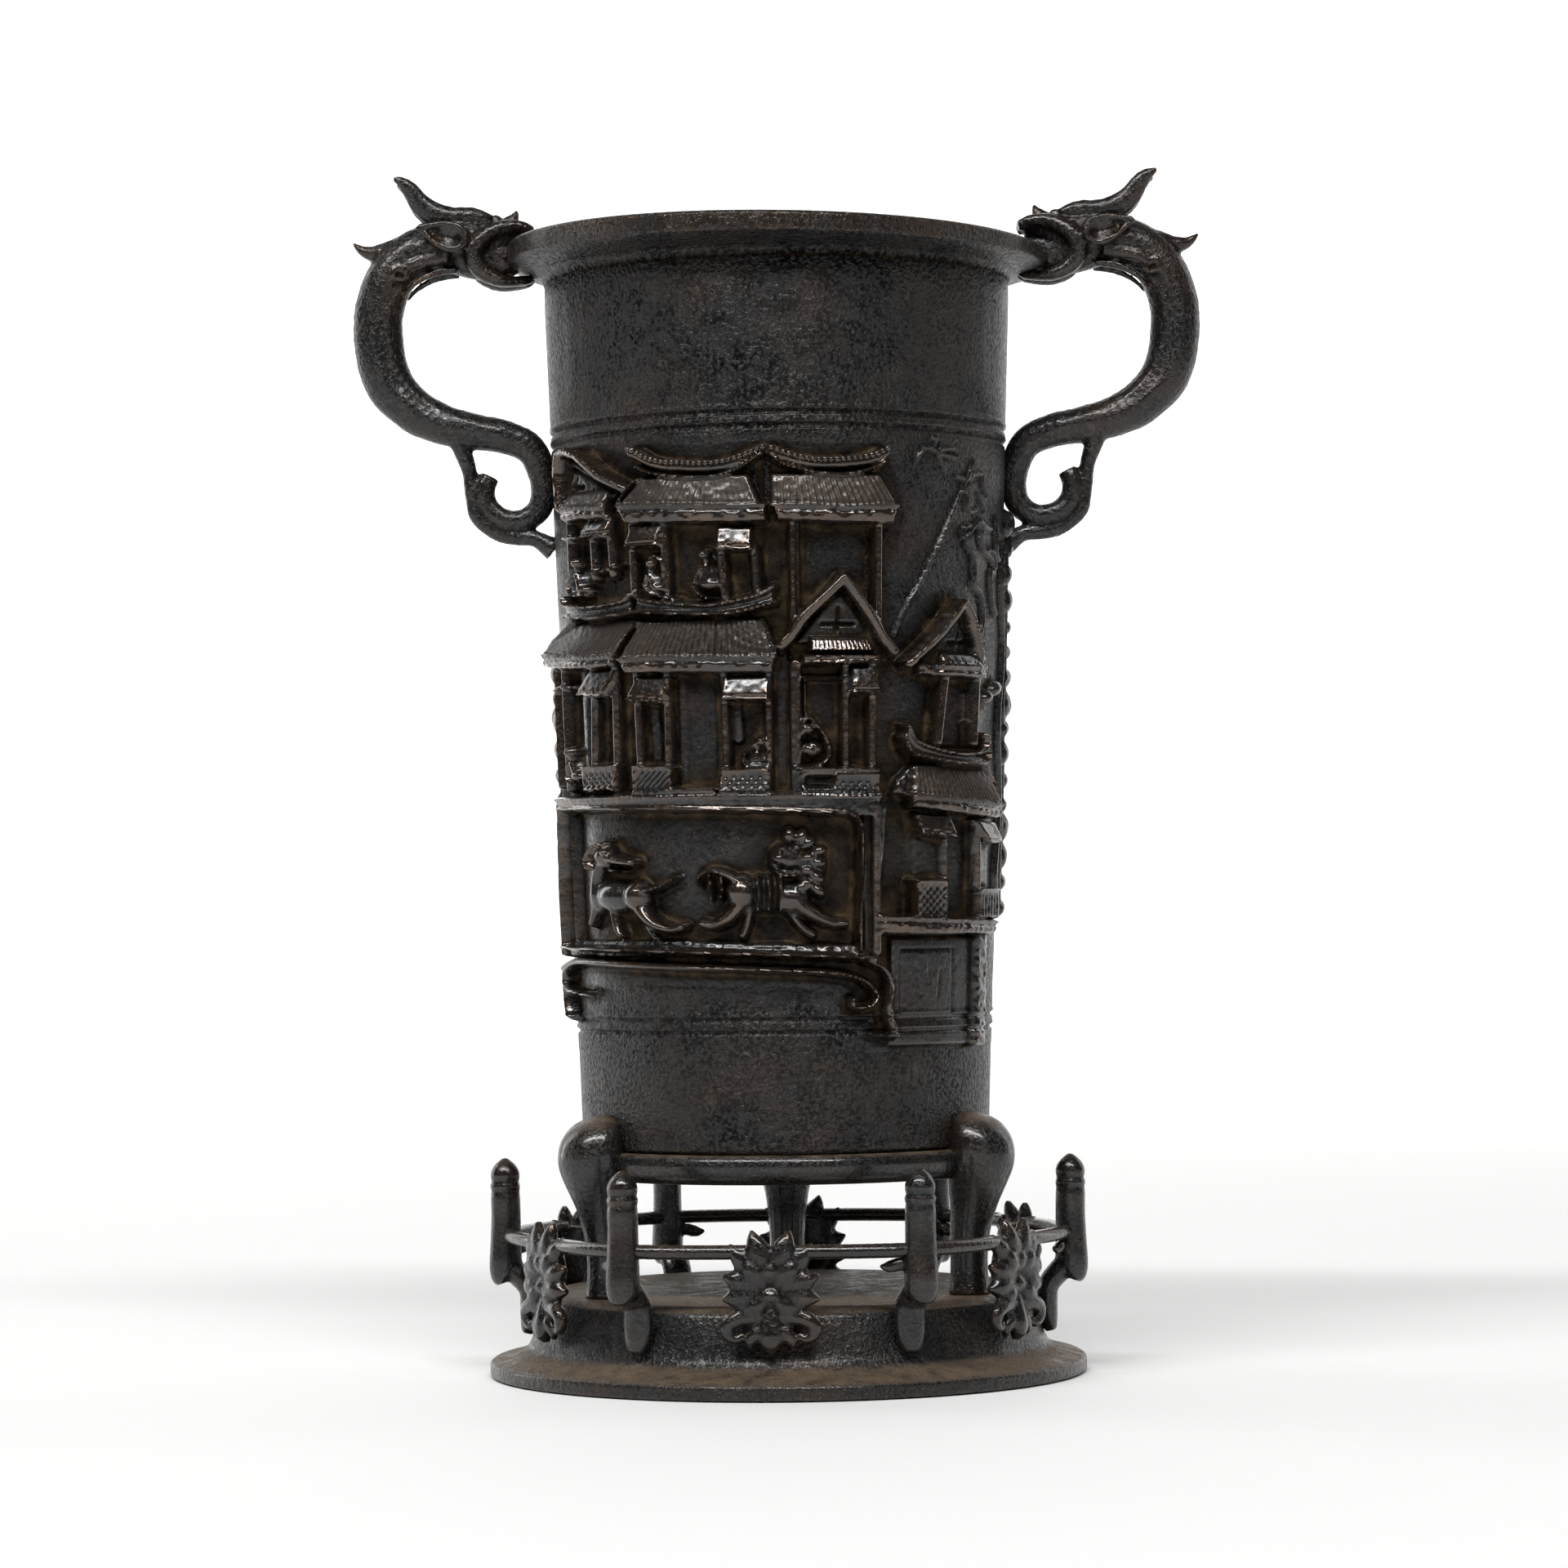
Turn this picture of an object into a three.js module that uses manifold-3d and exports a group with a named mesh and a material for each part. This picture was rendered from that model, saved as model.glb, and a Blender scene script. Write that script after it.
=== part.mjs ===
// Bronze vase for incense tools: a tall hollow beaker with pavilions in relief and two dragon
// handles that bite its rim. It stands on a three-legged ring, over a round plinth with an
// open-work balustrade of bud posts, rails and lotus heads.
// Millimetres, +Z up. The origin is the centre of the plinth's underside, and the front faces -Y.
import * as THREE from 'three';
import { mergeVertices } from 'three/addons/utils/BufferGeometryUtils.js';
import Module from 'manifold-3d';

const wasm = await Module();
wasm.setup();

// Fits
const clearance = 0.3; // air between two castings that meet
const embed = 0.7; // how far relief and joined parts sink into what carries them

// Plinth
const discRadius = 36.2;
const discEdge = 2.1;
const plinthHeight = 10.2;
const drumRadius = 29.6;
const drumFoot = 31.5; // radius where the drum's foot meets the disc
const plinthWall = 2.0;

// Three-legged stand
const standHeight = 13.8; // plinth top to the underside of the ring
const ringDepth = 3.4;
const ringOverhang = 1.3; // ring beyond the vase's foot
const ringWidth = 6.5;
const legCount = 3;
const legShoulderRadius = 4.3;
const legFootRadius = 2.45;
const legShoulderRise = 4.5; // top of the shoulder above the ring

// Vase
const bodyHeight = 109.1;
const footRadius = 24.6;
const mouthRadius = 28.4;
const bodyWall = 2.0;
const bodyFloor = 2.5;
const rimOverhang = 4.4;
const rimEdge = 2.0;
const rimFlare = 2.5; // height of the hollow curve under the rim
const rimCurveOut = 0.36; // share of the overhang that its middle reaches
const rimCurveUp = 0.6; // at this share of its height

// Relief, as lifts above the vase's wall
const lowLift = 0.9;
const postLift = 2.1;
const ledgeLift = 2.7;
const eaveLift = 3.2;

// Dragon handles
const handleReach = 24.6; // furthest point of the neck beyond the wall
const neckRadius = 3.05;
const neckTipRadius = 1.35;
const strandRadius = 0.95;
const headHalfWidth = 4.2; // over its ears
const jawRadius = 1.25;

// Balustrade
const postCount = 6;
const postInset = 1.8; // the posts' circle in from the plinth's edge
const postRadius = 1.85;
const postHeight = 16.1; // bud tip above the plinth's top
const railRadius = 0.9;
const railHeight = 6.5; // rail centre above the plinth's top
const ringTurn = -3.5; // degrees that the whole ring is turned
const lotusWidth = 11.7;
const lotusTop = 9.4; // above the plinth's top
const lotusDrop = 5.2; // its lowest tip below the plinth's top
const lotusStandoff = 2.0; // petals' back face out from the drum
const lotusPlate = 1.2; // thickness at the petals
const lotusHeart = 1.9; // rise of the heart above them

// Facets
const bodySides = 32;
const tubeSides = 8;
const columnSpan = 20; // degrees of wall that one flat of a strip covers

// Places worked out from the sizes
const ringBottom = plinthHeight + standHeight;
const ringTop = ringBottom + ringDepth;
const bodyBase = ringTop + clearance;
const bodyTop = bodyBase + bodyHeight;
const rimUnder = bodyTop - rimEdge;
const flareBottom = rimUnder - rimFlare;
const rimRadius = mouthRadius + rimOverhang;
const ringOuter = footRadius + ringOverhang;
const postCircle = discRadius - postInset;
const lotusCircle = drumRadius + lotusStandoff;

function wallRadius(z) {
  const share = (z - bodyBase) / (flareBottom - bodyBase);
  return footRadius + share * (mouthRadius - footRadius);
}

// Solids

const weldDistance = 1e-3; // vertices closer than this are one

function toSolid(geometry) {
  const bare = geometry.clone();
  bare.deleteAttribute('normal');
  bare.deleteAttribute('uv');
  const merged = mergeVertices(bare, weldDistance);
  const index = [];
  const source = merged.index.array;
  for (let i = 0; i < source.length; i += 3) {
    const [a, b, c] = [source[i], source[i + 1], source[i + 2]];
    if (a !== b && b !== c && c !== a) index.push(a, b, c);
  }
  return new wasm.Manifold(new wasm.Mesh({
    numProp: 3,
    vertProperties: new Float32Array(merged.attributes.position.array),
    triVerts: new Uint32Array(index),
  }));
}

function meshSolid(points, triangles) {
  const geometry = new THREE.BufferGeometry();
  const places = points.flatMap((point) => [point.x, point.y, point.z]);
  geometry.setAttribute('position', new THREE.Float32BufferAttribute(places, 3));
  geometry.setIndex(triangles);
  return toSolid(geometry);
}

function joined(solids) {
  return solids.reduce((whole, solid) => whole.add(solid));
}

function toGeometry(solid) {
  const { vertProperties, triVerts } = solid.getMesh();
  const geometry = new THREE.BufferGeometry();
  geometry.setAttribute('position', new THREE.BufferAttribute(new Float32Array(vertProperties), 3));
  geometry.setIndex(new THREE.BufferAttribute(new Uint32Array(triVerts), 1));
  return geometry;
}

// A casting ready to show: its vertices are welded, and slivers of air that its joined parts seal
// in between them are closed
function namedMesh(name, solid, colour, roughness) {
  const welded = toSolid(toGeometry(solid));
  const whole = wasm.Manifold.compose(welded.decompose().filter((piece) => piece.volume() > 0));
  const geometry = toGeometry(whole);
  const material = new THREE.MeshStandardMaterial({ color: colour, roughness, metalness: 0.8 });
  const mesh = new THREE.Mesh(geometry, material);
  mesh.name = name;
  return mesh;
}

function turned(profile, sides = bodySides) {
  const points = profile.map(([radius, z]) => new THREE.Vector2(radius, z));
  const geometry = new THREE.LatheGeometry(points, sides);
  geometry.rotateX(Math.PI / 2);
  return toSolid(geometry);
}

// A round bar of changing radius through stations of [point, half width, half depth].
// The depth is measured along the axis that is given, and the width across it and the bar.
function bar(stations, depthAxis, sides = tubeSides) {
  const points = [];
  const triangles = [];
  const depth = depthAxis.clone().normalize();
  const last = stations.length - 1;
  stations.forEach(([point, halfWidth, halfDepth = halfWidth], i) => {
    const before = stations[Math.max(i - 1, 0)][0];
    const after = stations[Math.min(i + 1, last)][0];
    const along = after.clone().sub(before).normalize();
    const across = depth.clone().cross(along).normalize();
    for (let k = 0; k < sides; k++) {
      const turn = 2 * Math.PI * k / sides;
      points.push(point.clone()
        .addScaledVector(across, halfWidth * Math.cos(turn))
        .addScaledVector(depth, -halfDepth * Math.sin(turn)));
    }
  });
  for (let i = 0; i < last; i++) {
    for (let k = 0; k < sides; k++) {
      const a = i * sides + k;
      const b = i * sides + (k + 1) % sides;
      triangles.push(a, b, b + sides, a, b + sides, a + sides);
    }
  }
  for (let k = 1; k < sides - 1; k++) {
    triangles.push(0, k + 1, k);
    triangles.push(last * sides, last * sides + k, last * sides + k + 1);
  }
  const solid = meshSolid(points, triangles);
  return solid.volume() < 0 ? meshSolid(points, flipped(triangles)) : solid;
}

function flipped(triangles) {
  const turnedRound = [];
  for (let i = 0; i < triangles.length; i += 3) {
    turnedRound.push(triangles[i], triangles[i + 2], triangles[i + 1]);
  }
  return turnedRound;
}

// A rounded lump with few facets, tilted in the plane that it shows to the front
function rounded(halfX, halfY, halfZ, tilt) {
  const facetAllowance = 1.08; // so that flat facets keep the volume of the round form
  const geometry = new THREE.IcosahedronGeometry(facetAllowance, 0);
  geometry.scale(halfX, halfY, halfZ);
  geometry.rotateY(THREE.MathUtils.degToRad(tilt));
  return geometry;
}

// Stations along a smooth curve through points, with the radius following a function of its share
function smoothBar(points, steps, radiusAt, depthAxis, sides = tubeSides) {
  const curve = new THREE.CatmullRomCurve3(points);
  const stations = [];
  for (let i = 0; i <= steps; i++) {
    stations.push([curve.getPoint(i / steps), radiusAt(i / steps)]);
  }
  return bar(stations, depthAxis, sides);
}

// Relief on the vase's wall. A place is [azimuth in degrees, height], with azimuth 0 at the front
// and rising to the right. Heights are millimetres above the ground as drawn for drawnHeight of
// wall, and follow the wall when its height changes.
const drawnBase = 27.7;
const drawnHeight = 109.1;

function heightOf(drawn) {
  return bodyBase + (drawn - drawnBase) * bodyHeight / drawnHeight;
}

function onWall(azimuth, drawn, lift) {
  const z = heightOf(drawn);
  const radius = wallRadius(z) + lift;
  const turn = THREE.MathUtils.degToRad(azimuth);
  return new THREE.Vector3(radius * Math.sin(turn), -radius * Math.cos(turn), z);
}

// A raised strip between a lower and an upper edge, each a row of [azimuth, height, lift]
function strip(lower, upper) {
  const points = [];
  const triangles = [];
  const quad = (a, b, c, d) => triangles.push(a, b, c, a, c, d);
  const count = lower.length;
  for (let i = 0; i < count; i++) {
    points.push(onWall(...lower[i]), onWall(...upper[i]));
    points.push(onWall(upper[i][0], upper[i][1], -embed), onWall(lower[i][0], lower[i][1], -embed));
  }
  const [lowFront, topFront, topBack, lowBack] = [0, 1, 2, 3];
  for (let i = 0; i < count - 1; i++) {
    const here = 4 * i;
    const next = here + 4;
    quad(here + lowFront, next + lowFront, next + topFront, here + topFront);
    quad(here + topFront, next + topFront, next + topBack, here + topBack);
    quad(here + topBack, next + topBack, next + lowBack, here + lowBack);
    quad(here + lowBack, next + lowBack, next + lowFront, here + lowFront);
  }
  const end = 4 * (count - 1);
  quad(lowBack, lowFront, topFront, topBack);
  quad(end + lowFront, end + lowBack, end + topBack, end + topFront);
  return meshSolid(points, triangles);
}

const columnsFor = (from, to) => Math.max(1, Math.ceil(Math.abs(to - from) / columnSpan));

function shares(count) {
  return Array.from({ length: count + 1 }, (_, i) => i / count);
}

const mix = (a, b, share) => a + (b - a) * share;

// A moulding that runs round the wall from one azimuth to another. Its rows go up its face, each
// [height, lift, degrees that the row stops short of either end, sag in the middle].
function moulding(from, to, rows) {
  const sagging = rows.some(([, , , sag = 0]) => sag !== 0);
  const columns = sagging ? Math.max(3, columnsFor(from, to)) : columnsFor(from, to);
  const points = [];
  const triangles = [];
  const quad = (a, b, c, d) => triangles.push(a, b, c, a, c, d);
  const column = rows.length + 2;
  for (const share of shares(columns)) {
    const faces = rows.map(([height, lift, inset = 0, sag = 0]) =>
      [mix(from + inset, to - inset, share), height - sag * (1 - (2 * share - 1) ** 2), lift]);
    const [first, last] = [faces[0], faces[faces.length - 1]];
    points.push(...faces.map((face) => onWall(...face)));
    points.push(onWall(last[0], last[1], -embed), onWall(first[0], first[1], -embed));
  }
  for (let i = 0; i < columns; i++) {
    const here = i * column;
    const next = here + column;
    for (let row = 0; row < column; row++) {
      const above = (row + 1) % column;
      quad(here + row, next + row, next + above, here + above);
    }
  }
  const end = columns * column;
  const corner = column - 1;
  for (let row = 0; row < column - 2; row++) {
    triangles.push(corner, row, row + 1);
    triangles.push(end + corner, end + row + 1, end + row);
  }
  return meshSolid(points, triangles);
}

// A plain block; its top may be narrower and lie nearer the wall
function block({ from, to, bottom, top, lift, topLift = lift, inset = 0, sag = 0 }) {
  return moulding(from, to, [[bottom, lift, 0, sag], [top, topLift, inset, sag]]);
}

// A band of even width along a path of places on the wall
function band(path, width, lift) {
  const arc = THREE.MathUtils.degToRad(1) * wallRadius(heightOf(path[0][1]));
  const lower = [];
  const upper = [];
  path.forEach(([azimuth, height], i) => {
    const before = path[Math.max(i - 1, 0)];
    const after = path[Math.min(i + 1, path.length - 1)];
    const along = new THREE.Vector2((after[0] - before[0]) * arc, after[1] - before[1]).normalize();
    const [da, dh] = [-along.y * width / 2 / arc, along.x * width / 2];
    lower.push([azimuth - da, height - dh, lift]);
    upper.push([azimuth + da, height + dh, lift]);
  });
  return strip(lower, upper);
}

// A rounded boss with half sizes along the wall, up it and out of it
function boss(azimuth, drawn, halfWide, halfHigh, lift, tilt = 0) {
  const sunk = 0.35; // share of the lift at which the boss has its centre
  const geometry = rounded(halfWide, lift * (1 - sunk), halfHigh, tilt);
  geometry.rotateZ(THREE.MathUtils.degToRad(azimuth));
  const place = onWall(azimuth, drawn, lift * sunk);
  geometry.translate(place.x, place.y, place.z);
  return toSolid(geometry);
}

// Parts of a pavilion

function saddleRoof({ from, to, ridge, slopeTop, eaveTop, eaveBottom, overhang = 3.5 }) {
  const ridgeSag = 2.6;
  const ridgeFoot = overhang + 1;
  return moulding(from - overhang, to + overhang, [
    [eaveBottom, eaveLift - 0.4],
    [eaveTop, eaveLift],
    [slopeTop, 1.6, ridgeFoot],
    [ridge - 1, 2.3, ridgeFoot, ridgeSag],
    [ridge, 2, ridgeFoot, ridgeSag],
  ]);
}

function lowerRoof({ from, to, top, eaveTop, eaveBottom, inset = 3.5 }) {
  return moulding(from, to, [[eaveBottom, eaveLift - 0.4], [eaveTop, eaveLift], [top, 1.8, inset]]);
}

function gable({ centre, halfWidth, apex, foot, skirtHalf, skirtBottom, beamBottom }) {
  const boardWidth = 1.3;
  const fieldLift = 1.4;
  const wide = halfWidth * 0.8; // the field behind the boards
  const board = (side) =>
    band([[centre, apex], [centre + side * halfWidth, foot]], boardWidth, ledgeLift);
  const across = [centre - wide, centre, centre + wide];
  const field = strip(
    across.map((azimuth) => [azimuth, foot + 0.8, fieldLift]),
    across.map((azimuth, i) => (i === 1 ? [azimuth, apex - 0.6, 1.9] : [azimuth, foot + 1, fieldLift])),
  );
  const skirt = moulding(centre - skirtHalf, centre + skirtHalf, [
    [beamBottom, ledgeLift - 0.3], [skirtBottom, ledgeLift], [foot + 0.9, 1.6, 1.5],
  ]);
  return [board(-1), board(1), field, skirt];
}

function posts(azimuths, bottom, top, halfWidth = 1.3) {
  return azimuths.map((at) =>
    block({ from: at - halfWidth, to: at + halfWidth, bottom, top, lift: postLift }));
}

function blind(from, to, top, drop = 2.7) {
  return block({ from, to, bottom: top - drop, top, lift: eaveLift - 0.1, topLift: 2.2 });
}

// A balcony rail shaped like a boat, with upturned ends
function boatRail({ from, to, height, sag = 1.6 }) {
  return block({ from, to, bottom: height - 0.9, top: height + 0.5, lift: ledgeLift + 0.2, sag });
}

function figure(azimuth, seat, lean = 0) {
  const height = 5.4;
  return [
    boss(azimuth, seat + height * 0.36, 1.75, height * 0.4, 2.4, lean),
    boss(azimuth + lean * 0.06, seat + height * 0.86, 1.0, 1.05, 2.5),
  ];
}

// A running beast in profile; facing is 1 to the right and -1 to the left
function beast({ centre, height, length, facing, mane }) {
  const arc = THREE.MathUtils.degToRad(1) * wallRadius(heightOf(height));
  const along = (share) => centre + facing * share * length / arc;
  const limb = (path, width) => band(path.map(([s, h]) => [along(s), height + h]), width, lowLift);
  const head = mane ? [0.36, 3.1, 2.5, 2.6] : [0.02, 4.4, 1.9, 1.6];
  return [
    boss(centre, height, length * 0.34, 2, 1.6, facing * 4),
    boss(along(head[0]), height + head[1], head[2], head[3], 1.7),
    limb([[0.02, mane ? 1 : 2.6], [head[0], head[1]]], 2.6),
    limb([[-0.25, -1], [-0.4, -2.6], [-0.56, -3.5]], 1.2),
    limb([[-0.16, -1], [-0.22, -4.6]], 1.2),
    limb([[0.28, -1], [0.56, -3.3]], 1.2),
    limb([[0.2, -1], [0.34, -4.7]], 1.2),
    limb([[-0.3, 0.4], [-0.58, 2.6]], 0.9),
  ];
}

// The picture's groups, front first

function upperStorey() {
  return [
    ...gable({
      centre: -58.7, halfWidth: 18, apex: 110.9, foot: 104.9,
      skirtHalf: 15, skirtBottom: 103.4, beamBottom: 102.3,
    }),
    ...posts([-68.5, -58.1, -49, -42.6], 91.6, 102.6),
    blind(-51, -42, 102.1, 2.2),
    block({ from: -60.5, to: -41.5, bottom: 99.6, top: 100.3, lift: postLift }),
    ...figure(-55.5, 92.2),
    boatRail({ from: -74, to: -38, height: 92.7 }),
    saddleRoof({
      from: -36.4, to: -5.6, ridge: 109.9, slopeTop: 106.5, eaveTop: 102.9, eaveBottom: 101.4,
    }),
    ...posts([-35.4, -27.2, -13.5, -5.8], 90.4, 101.8),
    blind(-37.8, -28, 101.4),
    blind(-14.8, -5.6, 101),
    ...figure(-31, 92),
    ...figure(-18, 91.8, 14),
    boatRail({ from: -37, to: -1.5, height: 92.9, sag: 2 }),
    saddleRoof({
      from: 1.2, to: 24.4, ridge: 109.6, slopeTop: 106.5, eaveTop: 102.7, eaveBottom: 100.9,
    }),
    ...posts([3.2, 23.6], 89, 101.2, 1.6),
  ];
}

function lowerStorey() {
  return [
    lowerRoof({ from: -75.2, to: -41, top: 90.6, eaveTop: 86.2, eaveBottom: 84.7 }),
    lowerRoof({ from: -40.3, to: -1.3, top: 90, eaveTop: 85.4, eaveBottom: 83.8 }),
    ...posts([-70.5, -66, -51.7, -43.9, -36.3, -28, -13.5, -3.4], 69.6, 84.8),
    blind(-56.3, -43.5, 84.6, 3),
    blind(-38.4, -27, 83.6, 3),
    blind(-13.8, -2.8, 83.3, 3),
    block({ from: -57, to: -43, bottom: 70, top: 73.4, lift: ledgeLift }),
    block({ from: -39, to: -26.6, bottom: 69.8, top: 73, lift: ledgeLift }),
    block({ from: -15, to: -2.4, bottom: 69.6, top: 72.4, lift: ledgeLift }),
    block({ from: -26.4, to: -15.6, bottom: 69.6, top: 70.4, lift: ledgeLift }),
    ...figure(-62.6, 70.4),
    ...figure(-5.6, 71.6, -10),
    block({ from: -1.2, to: 1.8, bottom: 69.4, top: 86, lift: lowLift }),
  ];
}

function porch() {
  return [
    ...gable({
      centre: 14.8, halfWidth: 12.6, apex: 94.7, foot: 86.6,
      skirtHalf: 8, skirtBottom: 85.9, beamBottom: 84.3,
    }),
    ...posts([6.9, 15.3, 22], 69.6, 84.8, 1.6),
    blind(16, 23.8, 84.4, 2.8),
    ...figure(8.6, 72.6, -12),
    block({ from: 5, to: 23.6, bottom: 72, top: 72.8, lift: ledgeLift }),
    block({ from: 11.8, to: 23.4, bottom: 69, top: 72.1, lift: ledgeLift - 0.2 }),
  ];
}

function beastPanel() {
  const [left, right, bottom, top] = [-71.5, 24, 51, 68.2];
  const frameWidth = 1.2;
  const frameLift = 2;
  const stile = { bottom: bottom + 0.3, top: top - 0.3, lift: frameLift };
  return [
    block({ from: left + 1, to: right + 0.6, bottom: top, top: top + 1.7, lift: ledgeLift }),
    block({ from: left, to: right, bottom: top - frameWidth, top: top + 0.1, lift: frameLift }),
    block({ from: left, to: right, bottom, top: bottom + frameWidth, lift: frameLift }),
    block({ from: left, to: left + 4, ...stile }),
    block({ from: right - 4.2, to: right, ...stile }),
    ...beast({ centre: -46.5, height: 58, length: 11.5, facing: -1, mane: false }),
    ...beast({ centre: -2.3, height: 57.4, length: 15.5, facing: 1, mane: true }),
  ];
}

function lowTable() {
  return [
    band([[-76, 50.2], [-60, 50.3], [-47, 50.3], [-30, 50.3], [-12, 50.1], [4, 49.8], [17, 49.3],
      [24.6, 47.9], [27, 45], [28.4, 42.6], [31, 41.2]], 1.5, 2),
    band([[-72, 48.9], [-56, 49], [-34, 49], [-12, 48.9], [12, 48.1], [20, 47.5], [23.4, 46],
      [21.6, 44.6], [17.4, 44.6]], 0.8, 1.7),
    band([[-76.6, 50.2], [-75.4, 46], [-77.6, 42.9], [-81.6, 41.6]], 1.5, 2),
    band([[-71, 48.6], [-69.6, 46.6], [-65, 46.2]], 0.8, 1.5),
  ];
}

function rightTower() {
  return [
    ...gable({
      centre: 47.8, halfWidth: 16, apex: 92.4, foot: 84.9,
      skirtHalf: 8.6, skirtBottom: 84.4, beamBottom: 82.9,
    }),
    ...posts([41.8, 54.6], 74.6, 83.2, 2),
    boatRail({ from: 31, to: 67, height: 76.4, sag: 2 }),
    lowerRoof({ from: 30.8, to: 67.2, top: 73.6, eaveTop: 68.8, eaveBottom: 67.3 }),
    blind(34.4, 45.2, 67, 2.8),
    blind(54, 65.6, 67, 2.8),
    ...posts([34.8, 43.6, 54.6, 63.6], 54.4, 67.6, 1.4),
    block({ from: 33.2, to: 44.6, bottom: 54.8, top: 59.4, lift: ledgeLift }),
    block({ from: 53.2, to: 65, bottom: 54.8, top: 59, lift: ledgeLift }),
    block({ from: 26, to: 67, bottom: 53.2, top: 54.9, lift: ledgeLift }),
    block({ from: 26.2, to: 57.4, bottom: 39.9, top: 52.7, lift: lowLift }),
    block({ from: 57, to: 65, bottom: 39.6, top: 53.3, lift: 2 }),
  ];
}

function skyAndRocks() {
  const bough = (azimuth, height, facing, size) =>
    boss(azimuth, height, 1.7 * size, 1.2 * size, 2.1, facing * 24);
  return [
    band([[29.9, 88.2], [42, 98.3], [54.8, 108.3]], 0.6, 0.5),
    boss(42.6, 109.6, 2.3, 0.6, 0.7, -6),
    boss(41.8, 109.6, 0.6, 1.8, 0.7, 24),
    band([[59.5, 103.4], [57, 100.8], [56.4, 98], [60, 94.3], [62, 90.3]], 0.7, 0.8),
    band([[66, 101.6], [67.5, 97], [66.6, 93]], 0.7, 0.8),
    ...[-1, 1].flatMap((side) => [
      bough(side * 84, 93.6, side, 1.2),
      bough(side * 88, 79.6, side, 1.5),
      bough(side * 88, 65.2, -side, 1.7),
      band([[side * 82, 95], [side * 85, 80], [side * 84, 60]], 1.6, 1.5),
    ]),
  ];
}

// The side that the picture turns away: one plain pavilion, a bare panel and two trees
function backView() {
  const pine = (azimuth, facing) => [
    band([[azimuth, 55], [azimuth + facing * 2, 90]], 1.4, 1.4),
    ...[[4, 76, 1.7], [1, 91, 2.1]].map(([turn, height, size]) =>
      boss(azimuth + facing * turn, height, 2.2 * size, 1.1 * size, 1.7)),
  ];
  return [
    saddleRoof({ from: 160, to: 200, ridge: 103, slopeTop: 99.6, eaveTop: 95.6, eaveBottom: 94 }),
    ...posts([163, 180, 197], 79, 94.4, 1.7),
    boatRail({ from: 156, to: 204, height: 81.2, sag: 1.8 }),
    lowerRoof({ from: 154, to: 206, top: 78.4, eaveTop: 73.6, eaveBottom: 72 }),
    ...posts([160, 180, 200], 55, 72.6, 1.7),
    ...pine(130, 1),
    ...pine(-130, -1),
    block({ from: 112, to: 248, bottom: 52.6, top: 54.4, lift: 1.5 }),
  ];
}

// The castings

function vaseBody() {
  const inner = (z) => wallRadius(z) - bodyWall;
  const lip = 0.5;
  const shell = turned([
    [0, bodyBase],
    [footRadius - lip, bodyBase],
    [wallRadius(bodyBase + lip), bodyBase + lip],
    [mouthRadius, flareBottom],
    [mouthRadius + rimOverhang * rimCurveOut, flareBottom + rimFlare * rimCurveUp],
    [rimRadius - lip * 0.6, rimUnder],
    [rimRadius, rimUnder + lip],
    [rimRadius, bodyTop - lip],
    [rimRadius - lip, bodyTop],
    [mouthRadius - bodyWall * 0.4, bodyTop - lip],
    [inner(flareBottom), flareBottom],
    [inner(bodyBase + bodyFloor), bodyBase + bodyFloor + lip],
    [inner(bodyBase + bodyFloor) - lip, bodyBase + bodyFloor],
    [0, bodyBase + bodyFloor],
  ]);
  return joined([
    shell, ...upperStorey(), ...lowerStorey(), ...porch(), ...beastPanel(), ...lowTable(),
    ...rightTower(), ...skyAndRocks(), ...backView(),
  ]);
}

// What the vase's outside takes up, with the clearance that its neighbours keep to it
function vaseEnvelope() {
  const away = clearance;
  return turned([
    [0, bodyBase - away],
    [footRadius + away, bodyBase - away],
    [mouthRadius + away, flareBottom],
    [mouthRadius + rimOverhang * rimCurveOut + away, flareBottom + rimFlare * rimCurveUp - away],
    [rimRadius + away, rimUnder - away],
    [rimRadius + away, bodyTop + away],
    [0, bodyTop + away],
  ]);
}

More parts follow.
